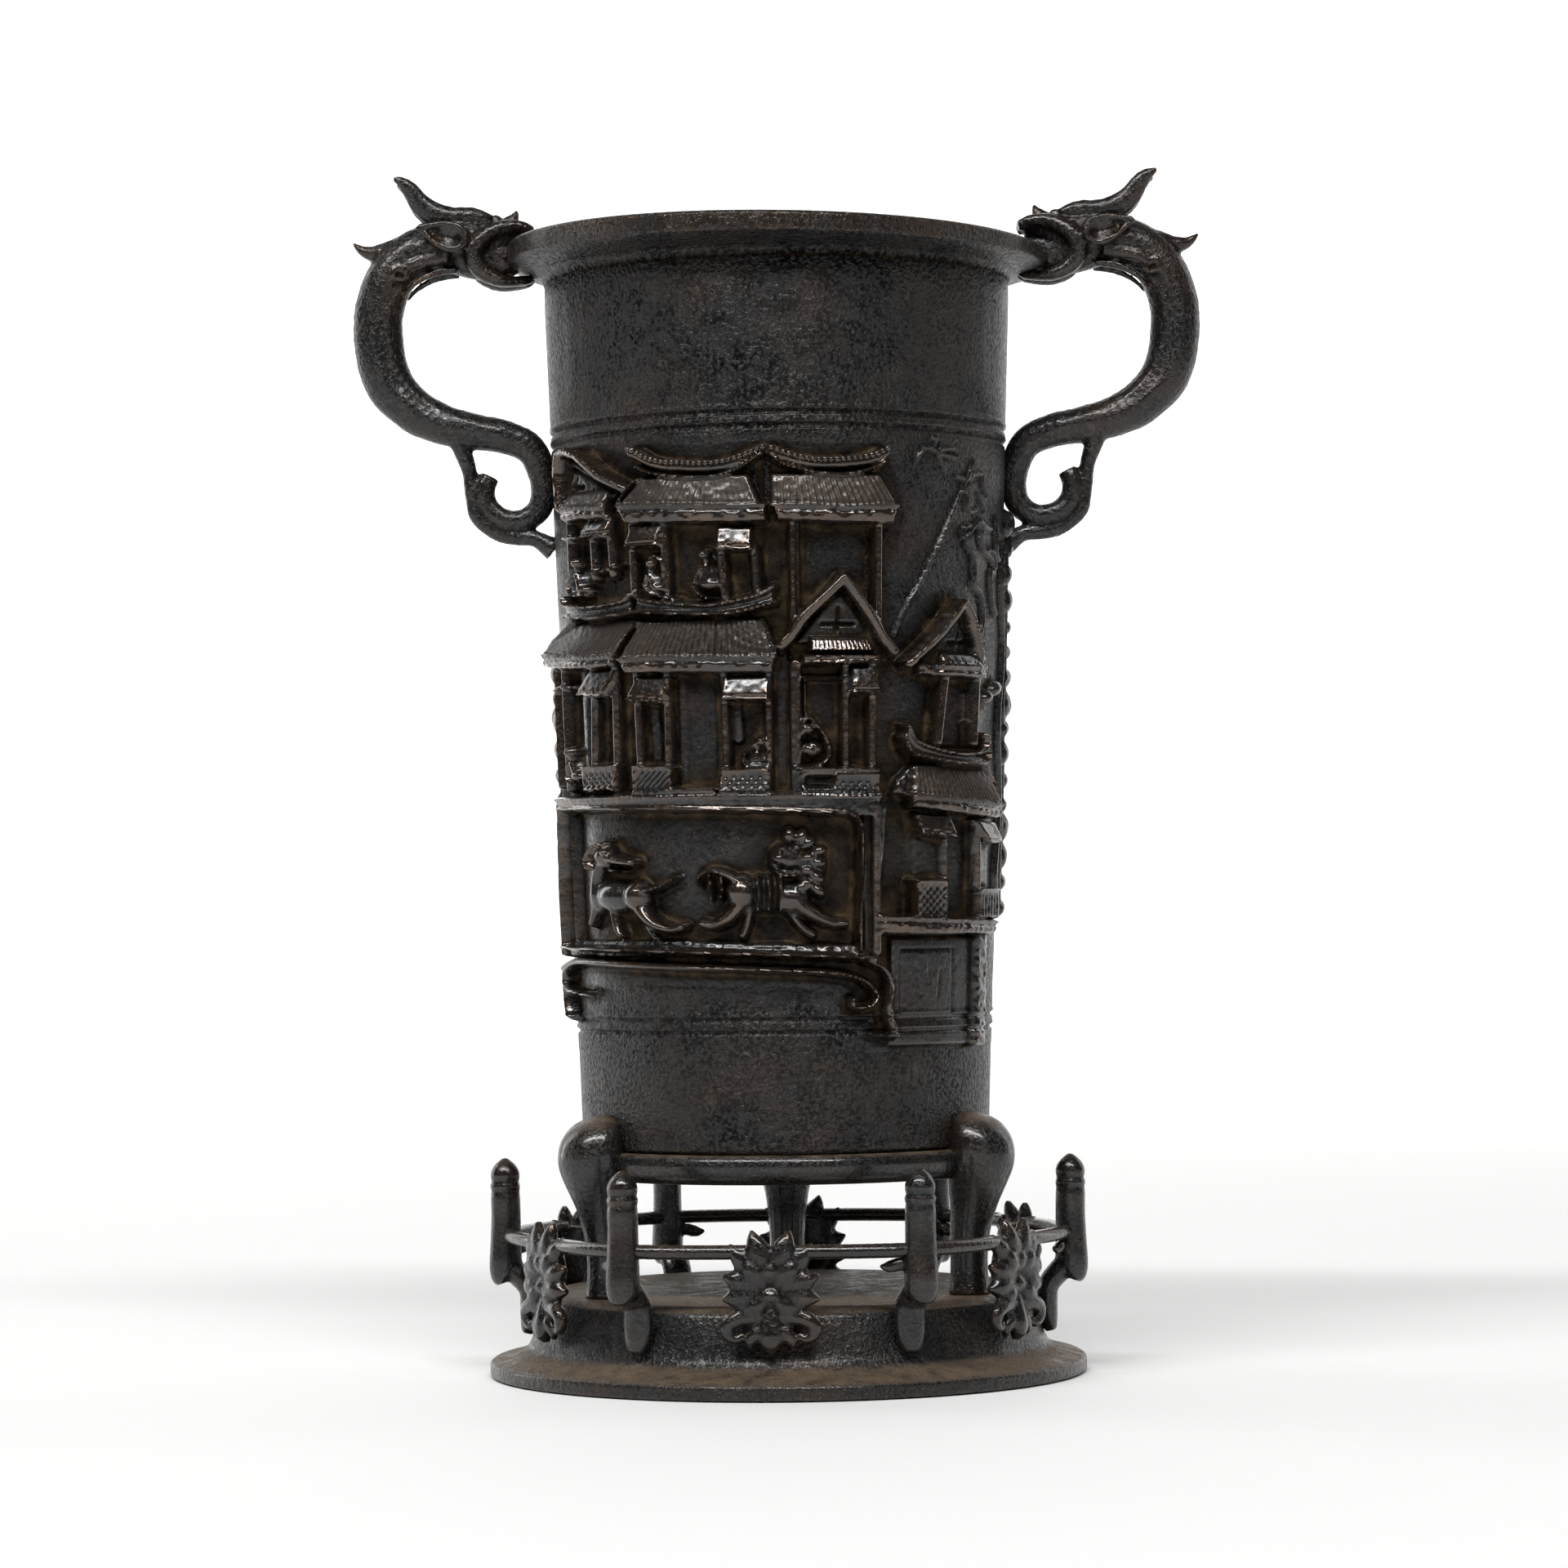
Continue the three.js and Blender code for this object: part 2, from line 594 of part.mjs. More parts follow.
// The handle on the +X side. A place on it is [distance beyond the wall, height above the rim's
// top], both in millimetres as drawn for drawnReach. Widths of the head are shares of its own.
function dragonHandle() {
  const drawnReach = 24.6;
  const grow = handleReach / drawnReach;
  const depthAxis = new THREE.Vector3(0, 1, 0);
  const place = (out, rise, share = 0) => {
    const z = bodyTop + rise * grow;
    return new THREE.Vector3(wallRadius(z) + out * grow, share * headHalfWidth, z);
  };
  const tube = (list, steps, radiusAt, sides) =>
    smoothBar(list.map(([out, rise]) => place(out, rise)), steps, radiusAt, depthAxis, sides);
  // Stations of [out, rise, half height, half width as a share, place across as a share]
  const headPart = (stations, sides = 6) => bar(
    stations.map(([out, rise, halfHeight, halfWidth, across = 0]) =>
      [place(out, rise, across), halfHeight * grow, halfWidth * headHalfWidth]),
    depthAxis, sides,
  );
  const taperStart = 0.45; // share of the neck's length from which it thins
  const neckRadiusAt = (share) =>
    mix(neckRadius, neckTipRadius, Math.max(0, (share - taperStart) / (1 - taperStart)));
  const neck = tube([
    [11.9, 1], [15.4, 0.4], [18.6, -3], [20.8, -8.4], [19.8, -15.3], [16.8, -19.2], [13.4, -21.1],
    [9.4, -22.1], [5.4, -22.7], [2.5, -24], [1.35, -26.8], [1.1, -29.3], [1.8, -31.8], [4, -33],
    [6.6, -32.7], [8.1, -31.2], [8.4, -29], [7.9, -27.2],
  ], 26, neckRadiusAt, 7);
  const strand = tube([
    [11.4, -22.6], [10.1, -26.8], [9.9, -29.8], [9.5, -32.3], [7.6, -34.2], [5.2, -35], [2.2, -35.2],
    [0.1, -36.8],
  ], 9, (share) => strandRadius * (share < 0.85 ? 1 : 1.3), 5);
  const skull = headPart([
    [17.6, -1.2, 3.1, 0.76], [14.4, 0.4, 3.5, 0.88], [11, 1.5, 3.4, 1],
    [7.6, 2, 2.7, 0.83], [4.4, 2.3, 2, 0.67], [1.4, 2.6, 1.2, 0.48],
  ]);
  const jaw = bar([
    [place(12.4, -2.6), jawRadius * 1.6, headHalfWidth * 0.71],
    [place(8.8, -3.6), jawRadius * 1.2, headHalfWidth * 0.67],
    [place(5.6, -4.2), jawRadius, headHalfWidth * 0.57],
    [place(1, -3.5), jawRadius * 0.48, headHalfWidth * 0.33],
  ], depthAxis, 6);
  const cheek = headPart([[9.4, -4, 1.1, 0.81], [7.4, -1.6, 1.2, 0.9], [8.8, 2, 1.1, 0.86]]);
  const horns = [-1, 1].map((half) => headPart([
    [8.6, 3.6, 1.2, 0.31, half * 0.45], [12.6, 4.1, 1.5, 0.29, half * 0.48],
    [15.4, 5.4, 1.3, 0.24, half * 0.52], [17, 7.6, 0.9, 0.17, half * 0.6],
    [17.9, 9.2, 0.35, 0.07, half * 0.64],
  ], 5));
  const mane = headPart([
    [14.6, 0.6, 1.6, 0.71], [18.2, 0.7, 1.1, 0.43], [21, 0.5, 0.7, 0.24], [23, 1.2, 0.2, 0.07],
  ]);
  const noseHorn = headPart([[4.4, 3.4, 1.1, 0.29], [3.4, 4.4, 0.8, 0.19], [3.1, 5.2, 0.2, 0.07]]);
  const ears = [-1, 1].map((half) =>
    boulder(place(10.8, 1.6, half * 0.86), 3.1 * grow, headHalfWidth * 0.31, 2.1 * grow, -24));
  return joined([neck, strand, skull, jaw, cheek, ...horns, mane, noseHorn, ...ears])
    .subtract(vaseEnvelope());
}

function boulder(centre, halfX, halfY, halfZ, tilt) {
  const geometry = rounded(halfX, halfY, halfZ, tilt);
  geometry.translate(centre.x, centre.y, centre.z);
  return toSolid(geometry);
}

function tripodStand() {
  const lip = 0.5;
  const ring = turned([
    [ringOuter - ringWidth, ringBottom],
    [ringOuter - lip, ringBottom],
    [ringOuter, ringBottom + lip],
    [ringOuter, ringTop - lip],
    [ringOuter - lip, ringTop],
    [ringOuter - ringWidth, ringTop],
    [ringOuter - ringWidth, ringBottom],
  ]);
  const footZ = plinthHeight + clearance;
  const shoulderOut = 0.9; // the shoulder's centre line, just outside the ring
  const circle = ringOuter + shoulderOut;
  const shoulderTop = ringTop + legShoulderRise;
  const shoulder = ringTop + legShoulderRise * 0.08;
  // Radius out from the axis, height and half width, from the top of the shoulder to the foot
  const drop = (share) => mix(shoulder, footZ, share);
  const outline = [
    [circle - 1.4, shoulderTop, 1],
    [circle - 0.8, shoulderTop - 0.5, 2.4],
    [circle - 0.2, mix(shoulder, shoulderTop, 0.5), 3.8],
    [circle, shoulder, legShoulderRadius],
    [circle, drop(0.16), legShoulderRadius * 0.97],
    [circle - 0.5, drop(0.38), mix(legFootRadius, legShoulderRadius, 0.54)],
    [circle - 1.2, drop(0.62), mix(legFootRadius, legShoulderRadius, 0.2)],
    [circle - 1.7, drop(0.85), legFootRadius],
    [circle - 1.9, footZ, legFootRadius * 1.04],
  ];
  const legs = [];
  for (let i = 0; i < legCount; i++) {
    const turn = 2 * Math.PI * i / legCount + Math.PI;
    const out = new THREE.Vector3(Math.sin(turn), -Math.cos(turn), 0);
    const stations = outline.map(([radius, z, halfWidth]) =>
      [out.clone().multiplyScalar(radius).setZ(z), halfWidth]);
    legs.push(bar(stations, out, 10));
  }
  return joined([ring, ...legs]).subtract(vaseEnvelope());
}

// The plinth's outside from its edge to its top
function plinthOutline() {
  const share = (s) => mix(discEdge, plinthHeight, s);
  return [
    [discRadius - 0.5, 0],
    [discRadius, discEdge * 0.35],
    [discRadius - 0.3, discEdge * 0.8],
    [discRadius - 1.6, share(0.08)],
    [drumFoot + 0.6, share(0.22)],
    [mix(drumFoot, drumRadius, 0.3), share(0.4)],
    [drumRadius, share(0.93)],
    [drumRadius - 1.1, plinthHeight],
  ];
}

// The drum's radius at a height
function drumAt(z) {
  const outline = plinthOutline();
  const above = outline.findIndex(([, height]) => height > z);
  if (above < 0) return outline[outline.length - 1][0];
  const [low, high] = [outline[above - 1], outline[above]];
  return mix(low[0], high[0], (z - low[1]) / (high[1] - low[1]));
}

function plinth() {
  const hollowTop = plinthHeight - plinthWall;
  return turned([
    ...plinthOutline(),
    [0, plinthHeight],
    [0, hollowTop],
    [drumRadius - 1.1 - plinthWall, hollowTop],
    [drumRadius - plinthWall, hollowTop - 1.2],
    [drumFoot - plinthWall, discEdge + 0.2],
    [drumFoot - plinthWall + 0.8, 0],
    [discRadius - 0.5, 0],
  ]);
}

// A lotus head on the ring at an azimuth: petals and leaves as one plate, raised at its heart and
// along each petal. Petals are [angle from upright, length].
function lotus(azimuth) {
  const turn = THREE.MathUtils.degToRad(azimuth);
  const out = new THREE.Vector3(Math.sin(turn), -Math.cos(turn), 0);
  const across = new THREE.Vector3(Math.cos(turn), Math.sin(turn), 0);
  const height = lotusTop + lotusDrop;
  const half = lotusWidth / 2;
  const heart = plinthHeight + lotusTop - height * 0.56;
  const petals = [
    [-24, height * 0.58], [24, height * 0.58], [64, half * 1.04], [106, half * 1.04], [144, half],
    [180, height * 0.44], [216, half], [254, half * 1.04], [296, half * 1.04],
  ];
  const place = (angle, length, lift) => {
    const lean = THREE.MathUtils.degToRad(angle);
    const z = heart + Math.cos(lean) * length;
    const circle = Math.max(lotusCircle, drumAt(z) + clearance + lotusPlate);
    return out.clone().multiplyScalar(circle + lift)
      .addScaledVector(across, Math.sin(lean) * length).setZ(z);
  };
  const rim = petals.flatMap(([angle, length], i) => {
    const [nextAngle, nextLength] = petals[(i + 1) % petals.length];
    const gap = ((nextAngle - angle) % 360 + 360) % 360;
    const shoulder = gap * 0.3;
    return [
      [angle - shoulder, length * 0.66, 0.1],
      [angle, length, 0.5],
      [angle + shoulder, length * 0.66, 0.1],
      [angle + gap / 2, Math.min(length, nextLength) * 0.46, 0],
    ];
  });
  const points = [place(0, 0, lotusHeart), place(0, 0, -lotusPlate)];
  rim.forEach(([angle, length, lift]) => {
    points.push(place(angle, length, lift), place(angle, length, lift - lotusPlate));
  });
  const triangles = [];
  rim.forEach((_, i) => {
    const [front, back] = [2 + 2 * i, 3 + 2 * i];
    const next = 2 + 2 * ((i + 1) % rim.length);
    triangles.push(0, next, front, 1, back, next + 1);
    triangles.push(front, next, next + 1, front, next + 1, back);
  });
  return meshSolid(points, triangles);
}

// A bud post: a stem up the drum's side, an elbow outwards, and a finger with a collar and a bud
function budPost(azimuth) {
  const turn = THREE.MathUtils.degToRad(azimuth);
  const out = new THREE.Vector3(Math.sin(turn), -Math.cos(turn), 0);
  const side = new THREE.Vector3(Math.cos(turn), Math.sin(turn), 0);
  const at = (radius, z) => out.clone().multiplyScalar(radius).setZ(plinthHeight + z);
  const againstDrum = (z, halfDepth) =>
    Math.max(drumRadius, drumAt(plinthHeight + z)) + clearance + halfDepth;
  const finger = bar([
    [at(postCircle - 0.2, 1.0), postRadius * 0.8], [at(postCircle, 1.8), postRadius * 1.08],
    [at(postCircle, 7), postRadius], [at(postCircle, postHeight - 3.9), postRadius * 0.98],
    [at(postCircle, postHeight - 3.3), postRadius * 0.8], [at(postCircle, postHeight - 2.8), postRadius],
    [at(postCircle, postHeight - 1.1), postRadius * 0.72], [at(postCircle, postHeight), 0.15],
  ], side, 6);
  const stem = bar([
    [at(againstDrum(-5.9, 0.9), -5.4), 0.9, 1], [at(againstDrum(-3, 1.4), -3), 1.4, 1.8],
    [at(againstDrum(0, 1.6), 0), 1.4, 1.8], [at(postCircle - 1.4, 2), 1.5, 1.8],
    [at(postCircle, 3), 1.5, 1.6],
  ], side, 6);
  return [finger, stem];
}

function balustrade() {
  const step = 360 / postCount;
  const parts = [];
  const ringPoint = (azimuth, radius) => {
    const turn = THREE.MathUtils.degToRad(azimuth);
    return new THREE.Vector3(radius * Math.sin(turn), -radius * Math.cos(turn), plinthHeight + railHeight);
  };
  for (let i = 0; i < postCount; i++) {
    const lotusAt = ringTurn + i * step;
    const postAt = lotusAt + step / 2;
    parts.push(lotus(lotusAt), ...budPost(postAt));
    for (const side of [-1, 1]) {
      const start = ringPoint(postAt, postCircle - postRadius * 0.5);
      const end = ringPoint(postAt + side * (step / 2 - 4), lotusCircle);
      parts.push(bar([[start, railRadius], [end, railRadius]], new THREE.Vector3(0, 0, 1), 4));
    }
  }
  return joined(parts);
}

const group = new THREE.Group();
group.add(namedMesh('vase_body', vaseBody(), 0x2e2b28, 0.5));
const rightHandle = namedMesh('dragon_handle_right', dragonHandle(), 0x33302c, 0.45);
const leftHandle = namedMesh('dragon_handle_left', dragonHandle(), 0x33302c, 0.45);
leftHandle.rotation.z = Math.PI;
group.add(leftHandle, rightHandle);
group.add(namedMesh('tripod_stand', tripodStand(), 0x302c28, 0.5));
group.add(namedMesh('plinth', plinth(), 0x35302a, 0.55));
group.add(namedMesh('balustrade', balustrade(), 0x342f29, 0.5));

export default group;
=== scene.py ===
"""Bronze vase for incense tools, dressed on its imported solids: a beaker with pavilions in relief
and two dragon handles, on a three-legged ring, over a round plinth with a balustrade of bud
posts, rails and lotus heads. Lengths in the code are millimetres unless they say otherwise."""

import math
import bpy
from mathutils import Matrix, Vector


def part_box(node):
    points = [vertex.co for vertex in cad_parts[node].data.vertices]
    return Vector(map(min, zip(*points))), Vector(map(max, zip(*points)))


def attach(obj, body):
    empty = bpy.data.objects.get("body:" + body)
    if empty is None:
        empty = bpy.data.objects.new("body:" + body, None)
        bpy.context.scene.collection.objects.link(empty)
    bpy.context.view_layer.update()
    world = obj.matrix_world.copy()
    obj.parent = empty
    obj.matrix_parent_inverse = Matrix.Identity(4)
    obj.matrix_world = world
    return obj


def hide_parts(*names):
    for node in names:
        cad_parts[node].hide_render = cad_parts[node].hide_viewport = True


bl_info = {
    "name": "Bronze Incense Tool Vase",
    "version": (1, 0, 0),
    "blender": (4, 5, 0),
    "location": "View3D > Sidebar > Vase",
    "description": "Builds a bronze vase for incense tools piece by piece",
    "category": "Object",
}

import bmesh
import bpy
import numpy as np
from mathutils import Matrix, Vector

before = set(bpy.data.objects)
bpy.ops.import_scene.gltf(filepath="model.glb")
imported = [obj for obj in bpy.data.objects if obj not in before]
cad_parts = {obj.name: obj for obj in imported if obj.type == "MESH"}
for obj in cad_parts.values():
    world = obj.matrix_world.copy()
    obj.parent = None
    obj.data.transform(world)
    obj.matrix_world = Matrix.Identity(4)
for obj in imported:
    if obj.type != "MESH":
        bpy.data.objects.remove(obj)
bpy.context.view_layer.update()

MM = 0.001
BODY = "root"

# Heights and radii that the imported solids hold
VASE_LOW, VASE_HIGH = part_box("vase_body")
PLINTH_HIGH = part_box("plinth")[1]
RIM_RADIUS = VASE_HIGH.x / MM
VASE_FOOT = VASE_LOW.z / MM
VASE_TOP = VASE_HIGH.z / MM
PLINTH_TOP = PLINTH_HIGH.z / MM
DISC_RADIUS = PLINTH_HIGH.x / MM
FOOT_RADIUS = 24.6
MOUTH_RADIUS = 28.4
FLARE_BOTTOM = VASE_TOP - 4.5
WALL = 2.0
MIDDLE_RADIUS = 26.5
DEGREE = math.radians(1) * MIDDLE_RADIUS  # millimetres of wall to a degree, half way up
STAND_GAP = 0.3  # between the stand's ring and the vase
STAND_RADIUS = 25.9
LEG_CIRCLE = 24.9
LOTUS_CIRCLE = 31.2
POST_CIRCLE = 34.4
RAIL_HEIGHT = 6.6  # above the plinth's top

# Cells that fuse the pieces whose size is not a setting
LEG_VOXEL = 0.32 * MM
RING_VOXEL = 0.26 * MM
RAIL_VOXEL = 0.3 * MM

# Height and half width of the lines turned into the wall, in two pairs
GROOVES = ((113.9, 0.4), (112.3, 0.4), (43.2, 0.32), (41.7, 0.32))


def wall_radius(z):
    """The beaker's outer radius at a height, below the flare of its mouth."""
    share = (z - VASE_FOOT) / (FLARE_BOTTOM - VASE_FOOT)
    return FOOT_RADIUS + share * (MOUTH_RADIUS - FOOT_RADIUS)


# Sizes and colours


class VaseSizes(bpy.types.PropertyGroup):
    relief_step: bpy.props.FloatProperty(
        name="Relief Step",
        description="Spacing of the points that the relief is modelled with",
        default=0.17 * MM, min=0.1 * MM, max=1 * MM, precision=5, unit="LENGTH",
    )
    groove_depth: bpy.props.FloatProperty(
        name="Groove Depth",
        description="Depth of the pairs of lines above and below the relief",
        default=0.28 * MM, min=0, max=1 * MM, precision=5, unit="LENGTH",
    )
    bead_spacing: bpy.props.FloatProperty(
        name="Bead Spacing",
        description="Distance from bead to bead along the roof ridges",
        default=0.7 * MM, min=0.4 * MM, max=3 * MM, precision=5, unit="LENGTH",
    )
    cast_voxel: bpy.props.FloatProperty(
        name="Cast Voxel",
        description="Size of the cells that fuse the lumps of a handle or lotus head into one",
        default=0.24 * MM, min=0.15 * MM, max=1 * MM, precision=5, unit="LENGTH",
    )
    posts: bpy.props.IntProperty(
        name="Posts", description="Number of bud posts round the plinth", default=6, min=3, max=12,
    )
    ring_turn: bpy.props.FloatProperty(
        name="Ring Turn", description="How far the balustrade is turned from the front",
        default=math.radians(-3.5), unit="ROTATION",
    )


def colour_property(name, description, hex_value):
    """A colour that the panel shows as text."""
    return bpy.props.StringProperty(name=name, description=description, default=hex_value)


class VaseColours(bpy.types.PropertyGroup):
    patina: colour_property("Patina", "Cool dark patina on flat walls, sRGB hex", "1a1919")
    warm_patina: colour_property("Warm Patina", "Browner patches of the patina, sRGB hex", "261c15")
    # The rubbed colour is metal bared on worn edges, and on the relief's broad raised forms also a
    # painted reddish-brown sheen
    rubbed_and_sheen: colour_property("Rubbed Edge", "Metal that handling has bared, sRGB hex", "75604f")
    dust: colour_property("Dust", "Incense ash and dust in the recesses, sRGB hex", "604e37")
    floor: colour_property("Floor", "Paper that the vase stands on, sRGB hex", "f4f4f3")


def linear(hex_value):
    """An sRGB hex colour as the linear colour that Blender's nodes take."""
    channels = [int(hex_value[i:i + 2], 16) / 255 for i in (0, 2, 4)]
    return tuple(
        c / 12.92 if c <= 0.04045 else ((c + 0.055) / 1.055) ** 2.4 for c in channels
    ) + (1.0,)


# Meshes


def new_object(name, points, quads=(), triangles=(), polygons=(), attributes=None):
    """A mesh object from points in millimetres."""
    points = np.asarray(points, float).reshape(-1, 3)
    quads = np.asarray(quads, int).reshape(-1, 4)
    triangles = np.asarray(triangles, int).reshape(-1, 3)
    corners = np.concatenate([quads.ravel(), triangles.ravel(), *[np.asarray(p) for p in polygons]])
    sizes = [4] * len(quads) + [3] * len(triangles) + [len(p) for p in polygons]
    starts = np.concatenate([[0], np.cumsum(sizes)[:-1]])
    mesh = bpy.data.meshes.new(name)
    mesh.vertices.add(len(points))
    mesh.loops.add(len(corners))
    mesh.polygons.add(len(sizes))
    mesh.vertices.foreach_set("co", (points * MM).ravel())
    mesh.loops.foreach_set("vertex_index", corners.astype(np.int32))
    mesh.polygons.foreach_set("loop_start", starts.astype(np.int32))
    mesh.update(calc_edges=True)
    mesh.validate()
    for key, values in (attributes or {}).items():
        mesh.attributes.new(key, "FLOAT", "POINT").data.foreach_set("value", np.ravel(values))
    piece = bpy.data.objects.new(name, mesh)
    bpy.context.scene.collection.objects.link(piece)
    return piece


def places(mesh):
    """The mesh's points in millimetres."""
    found = np.zeros(len(mesh.vertices) * 3)
    mesh.vertices.foreach_get("co", found)
    return found.reshape(-1, 3) / MM


def normals_of(mesh):
    """The normals at the mesh's points."""
    found = np.zeros(len(mesh.vertices) * 3)
    mesh.vertices.foreach_get("normal", found)
    return found.reshape(-1, 3)


def set_places(mesh, points):
    """Moves the mesh's points to places in millimetres."""
    mesh.vertices.foreach_set("co", (points * MM).ravel())
    mesh.update()


def smooth_path(points, steps):
    """Points along a smooth curve through the given ones. Every number of a point is carried."""
    given = np.asarray(points, float)
    padded = np.vstack([2 * given[0] - given[1], given, 2 * given[-1] - given[-2]])
    rows = []
    for i in range(len(given) - 1):
        a, b, c, d = padded[i:i + 4]
        for s in np.arange(steps) / steps:
            rows.append(0.5 * (2 * b + (c - a) * s + (2 * a - 5 * b + 4 * c - d) * s ** 2
                               + (3 * b - a - 3 * c + d) * s ** 3))
    rows.append(given[-1])
    return np.array(rows)


def limb(stations, depth_axis, sides=20, steps=6):
    """Points and faces of a round bar through stations of x, y, z, half width and half depth.
    The depth runs along depth_axis and the width across it."""
    path = smooth_path(stations, steps)
    centres, widths, depths = path[:, :3], path[:, 3], path[:, 4]
    depth = np.asarray(depth_axis, float) / np.linalg.norm(depth_axis)
    along = np.gradient(centres, axis=0)
    across = np.cross(depth, along)
    across /= np.linalg.norm(across, axis=1)[:, None]
    turns = np.arange(sides) * 2 * math.pi / sides
    rings = (centres[:, None]
             + across[:, None] * (np.maximum(widths, 0.02)[:, None] * np.cos(turns))[..., None]
             + depth * (np.maximum(depths, 0.02)[:, None] * -np.sin(turns))[..., None])
    points = np.vstack([rings.reshape(-1, 3), centres[0], centres[-1]])
    quads, triangles = [], []
    for i in range(len(path) - 1):
        for k in range(sides):
            a, b = i * sides + k, i * sides + (k + 1) % sides
            quads.append((a, b, b + sides, a + sides))
    last = (len(path) - 1) * sides
    for k in range(sides):
        after = (k + 1) % sides
        triangles.append((len(points) - 2, after, k))
        triangles.append((len(points) - 1, last + k, last + after))
    return points, quads, triangles


def lump(centre, halves):
    """Points and faces of a rounded lump."""
    ball = bmesh.new()
    bmesh.ops.create_icosphere(ball, subdivisions=3, radius=1)
    points = np.array([v.co for v in ball.verts]) * halves
    triangles = [[v.index for v in f.verts] for f in ball.faces]
    ball.free()
    return points + centre, [], triangles


def fused(name, parts, voxel, smoothing=3):
    """One skin over overlapping parts, softened as a cast surface is."""
    points, quads, triangles, base = [], [], [], 0
    for part_points, part_quads, part_triangles in parts:
        points.append(part_points)
        quads += [[i + base for i in q] for q in part_quads]
        triangles += [[i + base for i in t] for t in part_triangles]
        base += len(part_points)
    piece = new_object(name, np.vstack(points), quads, triangles)
    remesh = piece.modifiers.new("Fuse", "REMESH")
    remesh.mode = "VOXEL"
    remesh.voxel_size = voxel
    remesh.adaptivity = 0
    soften = piece.modifiers.new("Soften", "SMOOTH")
    soften.factor = 0.5
    soften.iterations = smoothing
    return baked(piece)


def baked(piece):
    """The piece with its modifiers applied."""
    graph = bpy.context.evaluated_depsgraph_get()
    mesh = bpy.data.meshes.new_from_object(piece.evaluated_get(graph))
    old = piece.data
    piece.modifiers.clear()
    piece.data = mesh
    mesh.name = piece.name
    bpy.data.meshes.remove(old)
    return piece


def neighbour_means(mesh, values, rounds):
    """Values averaged over the mesh's neighbours a number of times."""
    edges = np.zeros(len(mesh.edges) * 2, np.int64)
    mesh.edges.foreach_get("vertices", edges)
    a, b = edges[0::2], edges[1::2]
    count = len(mesh.vertices)
    degree = np.maximum(np.bincount(a, minlength=count) + np.bincount(b, minlength=count), 1)

    def around(column):
        return (np.bincount(a, column[b], count) + np.bincount(b, column[a], count)) / degree

    for _ in range(rounds):
        values = np.stack([0.5 * column + 0.5 * around(column) for column in values.T], axis=1)
    return values


def weather(piece, rounds, depth):
    """Writes how far each point lies in a recess or stands on a ridge, which the patina reads for
    dust and painted shade, and for wear.
    """
    mesh = piece.data
    points = places(mesh)
    inward = ((neighbour_means(mesh, points, rounds) - points) * normals_of(mesh)).sum(1)
    for key, values in (("recess", inward / depth), ("ridge", -inward / depth)):
        found = mesh.attributes.get(key) or mesh.attributes.new(key, "FLOAT", "POINT")
        found.data.foreach_set("value", np.clip(values, 0, 1).astype(np.float32))
    return piece


def shade(piece, sharp_above=50):
    """Shades the piece smooth, but for edges of more than so many degrees."""
    mesh = piece.data
    mesh.polygons.foreach_set("use_smooth", np.ones(len(mesh.polygons), bool))
    mesh.set_sharp_from_angle(angle=math.radians(sharp_above))
    return piece


def eased(profile, reach=0.5, steps=4):
    """A profile with its corners rounded. A corner is left sharp where its third number is 0."""
    points = [np.array(p[:2], float) for p in profile]
    reaches = [p[2] if len(p) > 2 else reach for p in profile]
    rows = [points[0]]
    for i in range(1, len(points) - 1):
        here = points[i]
        before, after = points[i - 1] - here, points[i + 1] - here
        cut = min(reaches[i], np.linalg.norm(before) / 2, np.linalg.norm(after) / 2)
        if cut < 0.01:
            rows.append(here)
            continue
        start = here + before / np.linalg.norm(before) * cut
        end = here + after / np.linalg.norm(after) * cut
        for s in np.linspace(0, 1, steps + 1):
            rows.append((1 - s) ** 2 * start + 2 * s * (1 - s) * here + s * s * end)
    rows.append(points[-1])
    return np.array(rows)


def turned(name, profile, sides=224, longest=1.2):
    """A solid of revolution. The profile runs up the outside, from one end on the axis to the
    other, or round a closed section that doesn't touch the axis."""
    rows = [profile[0]]
    for a, b in zip(profile[:-1], profile[1:]):
        cuts = max(1, math.ceil(np.linalg.norm(b - a) / longest))
        rows += [a + (b - a) * k / cuts for k in range(1, cuts + 1)]
    rows = np.array(rows)
    on_axis = rows[0, 0] < 1e-6
    body = rows[1:-1] if on_axis else rows[:-1]
    turns = np.arange(sides) * 2 * math.pi / sides
    points = np.stack([
        body[:, None, 0] * np.sin(turns), -body[:, None, 0] * np.cos(turns),
        np.broadcast_to(body[:, None, 1], (len(body), sides)),
    ], axis=-1).reshape(-1, 3)
    k = np.arange(sides)
    after = (k + 1) % sides
    quads = [
        np.stack([i * sides + k, i * sides + after, j * sides + after, j * sides + k], 1)
        for i, j in zip(range(len(body)), [*range(1, len(body)), 0])
        if not (on_axis and j == 0)
    ]
    triangles = []
    if on_axis:
        points = np.vstack([points, [0, 0, rows[0, 1]], [0, 0, rows[-1, 1]]])
        low, high, last = len(points) - 2, len(points) - 1, (len(body) - 1) * sides
        triangles = [(low, after[i], i) for i in k] + [(high, last + i, last + after[i]) for i in k]
    return new_object(name, points, np.vstack(quads), triangles)


# Relief on the vase's wall


def random_field(shape, cells, seed):
    """Smooth random values from -1 to 1, cells points apart."""
    source = np.random.default_rng(seed)
    rough = source.uniform(-1, 1, (int(shape[0] / cells) + 3, int(shape[1] / cells) + 3))
    down, across = np.arange(shape[0]) / cells, np.arange(shape[1]) / cells
    i, j = down.astype(int), across.astype(int)
    s, t = down - i, across - j
    s, t = (s * s * (3 - 2 * s))[:, None], (t * t * (3 - 2 * t))[None, :]
    a, b = rough[np.ix_(i, j)], rough[np.ix_(i, j + 1)]
    c, d = rough[np.ix_(i + 1, j)], rough[np.ix_(i + 1, j + 1)]
    return (a * (1 - t) + b * t) * (1 - s) + (c * (1 - t) + d * t) * s


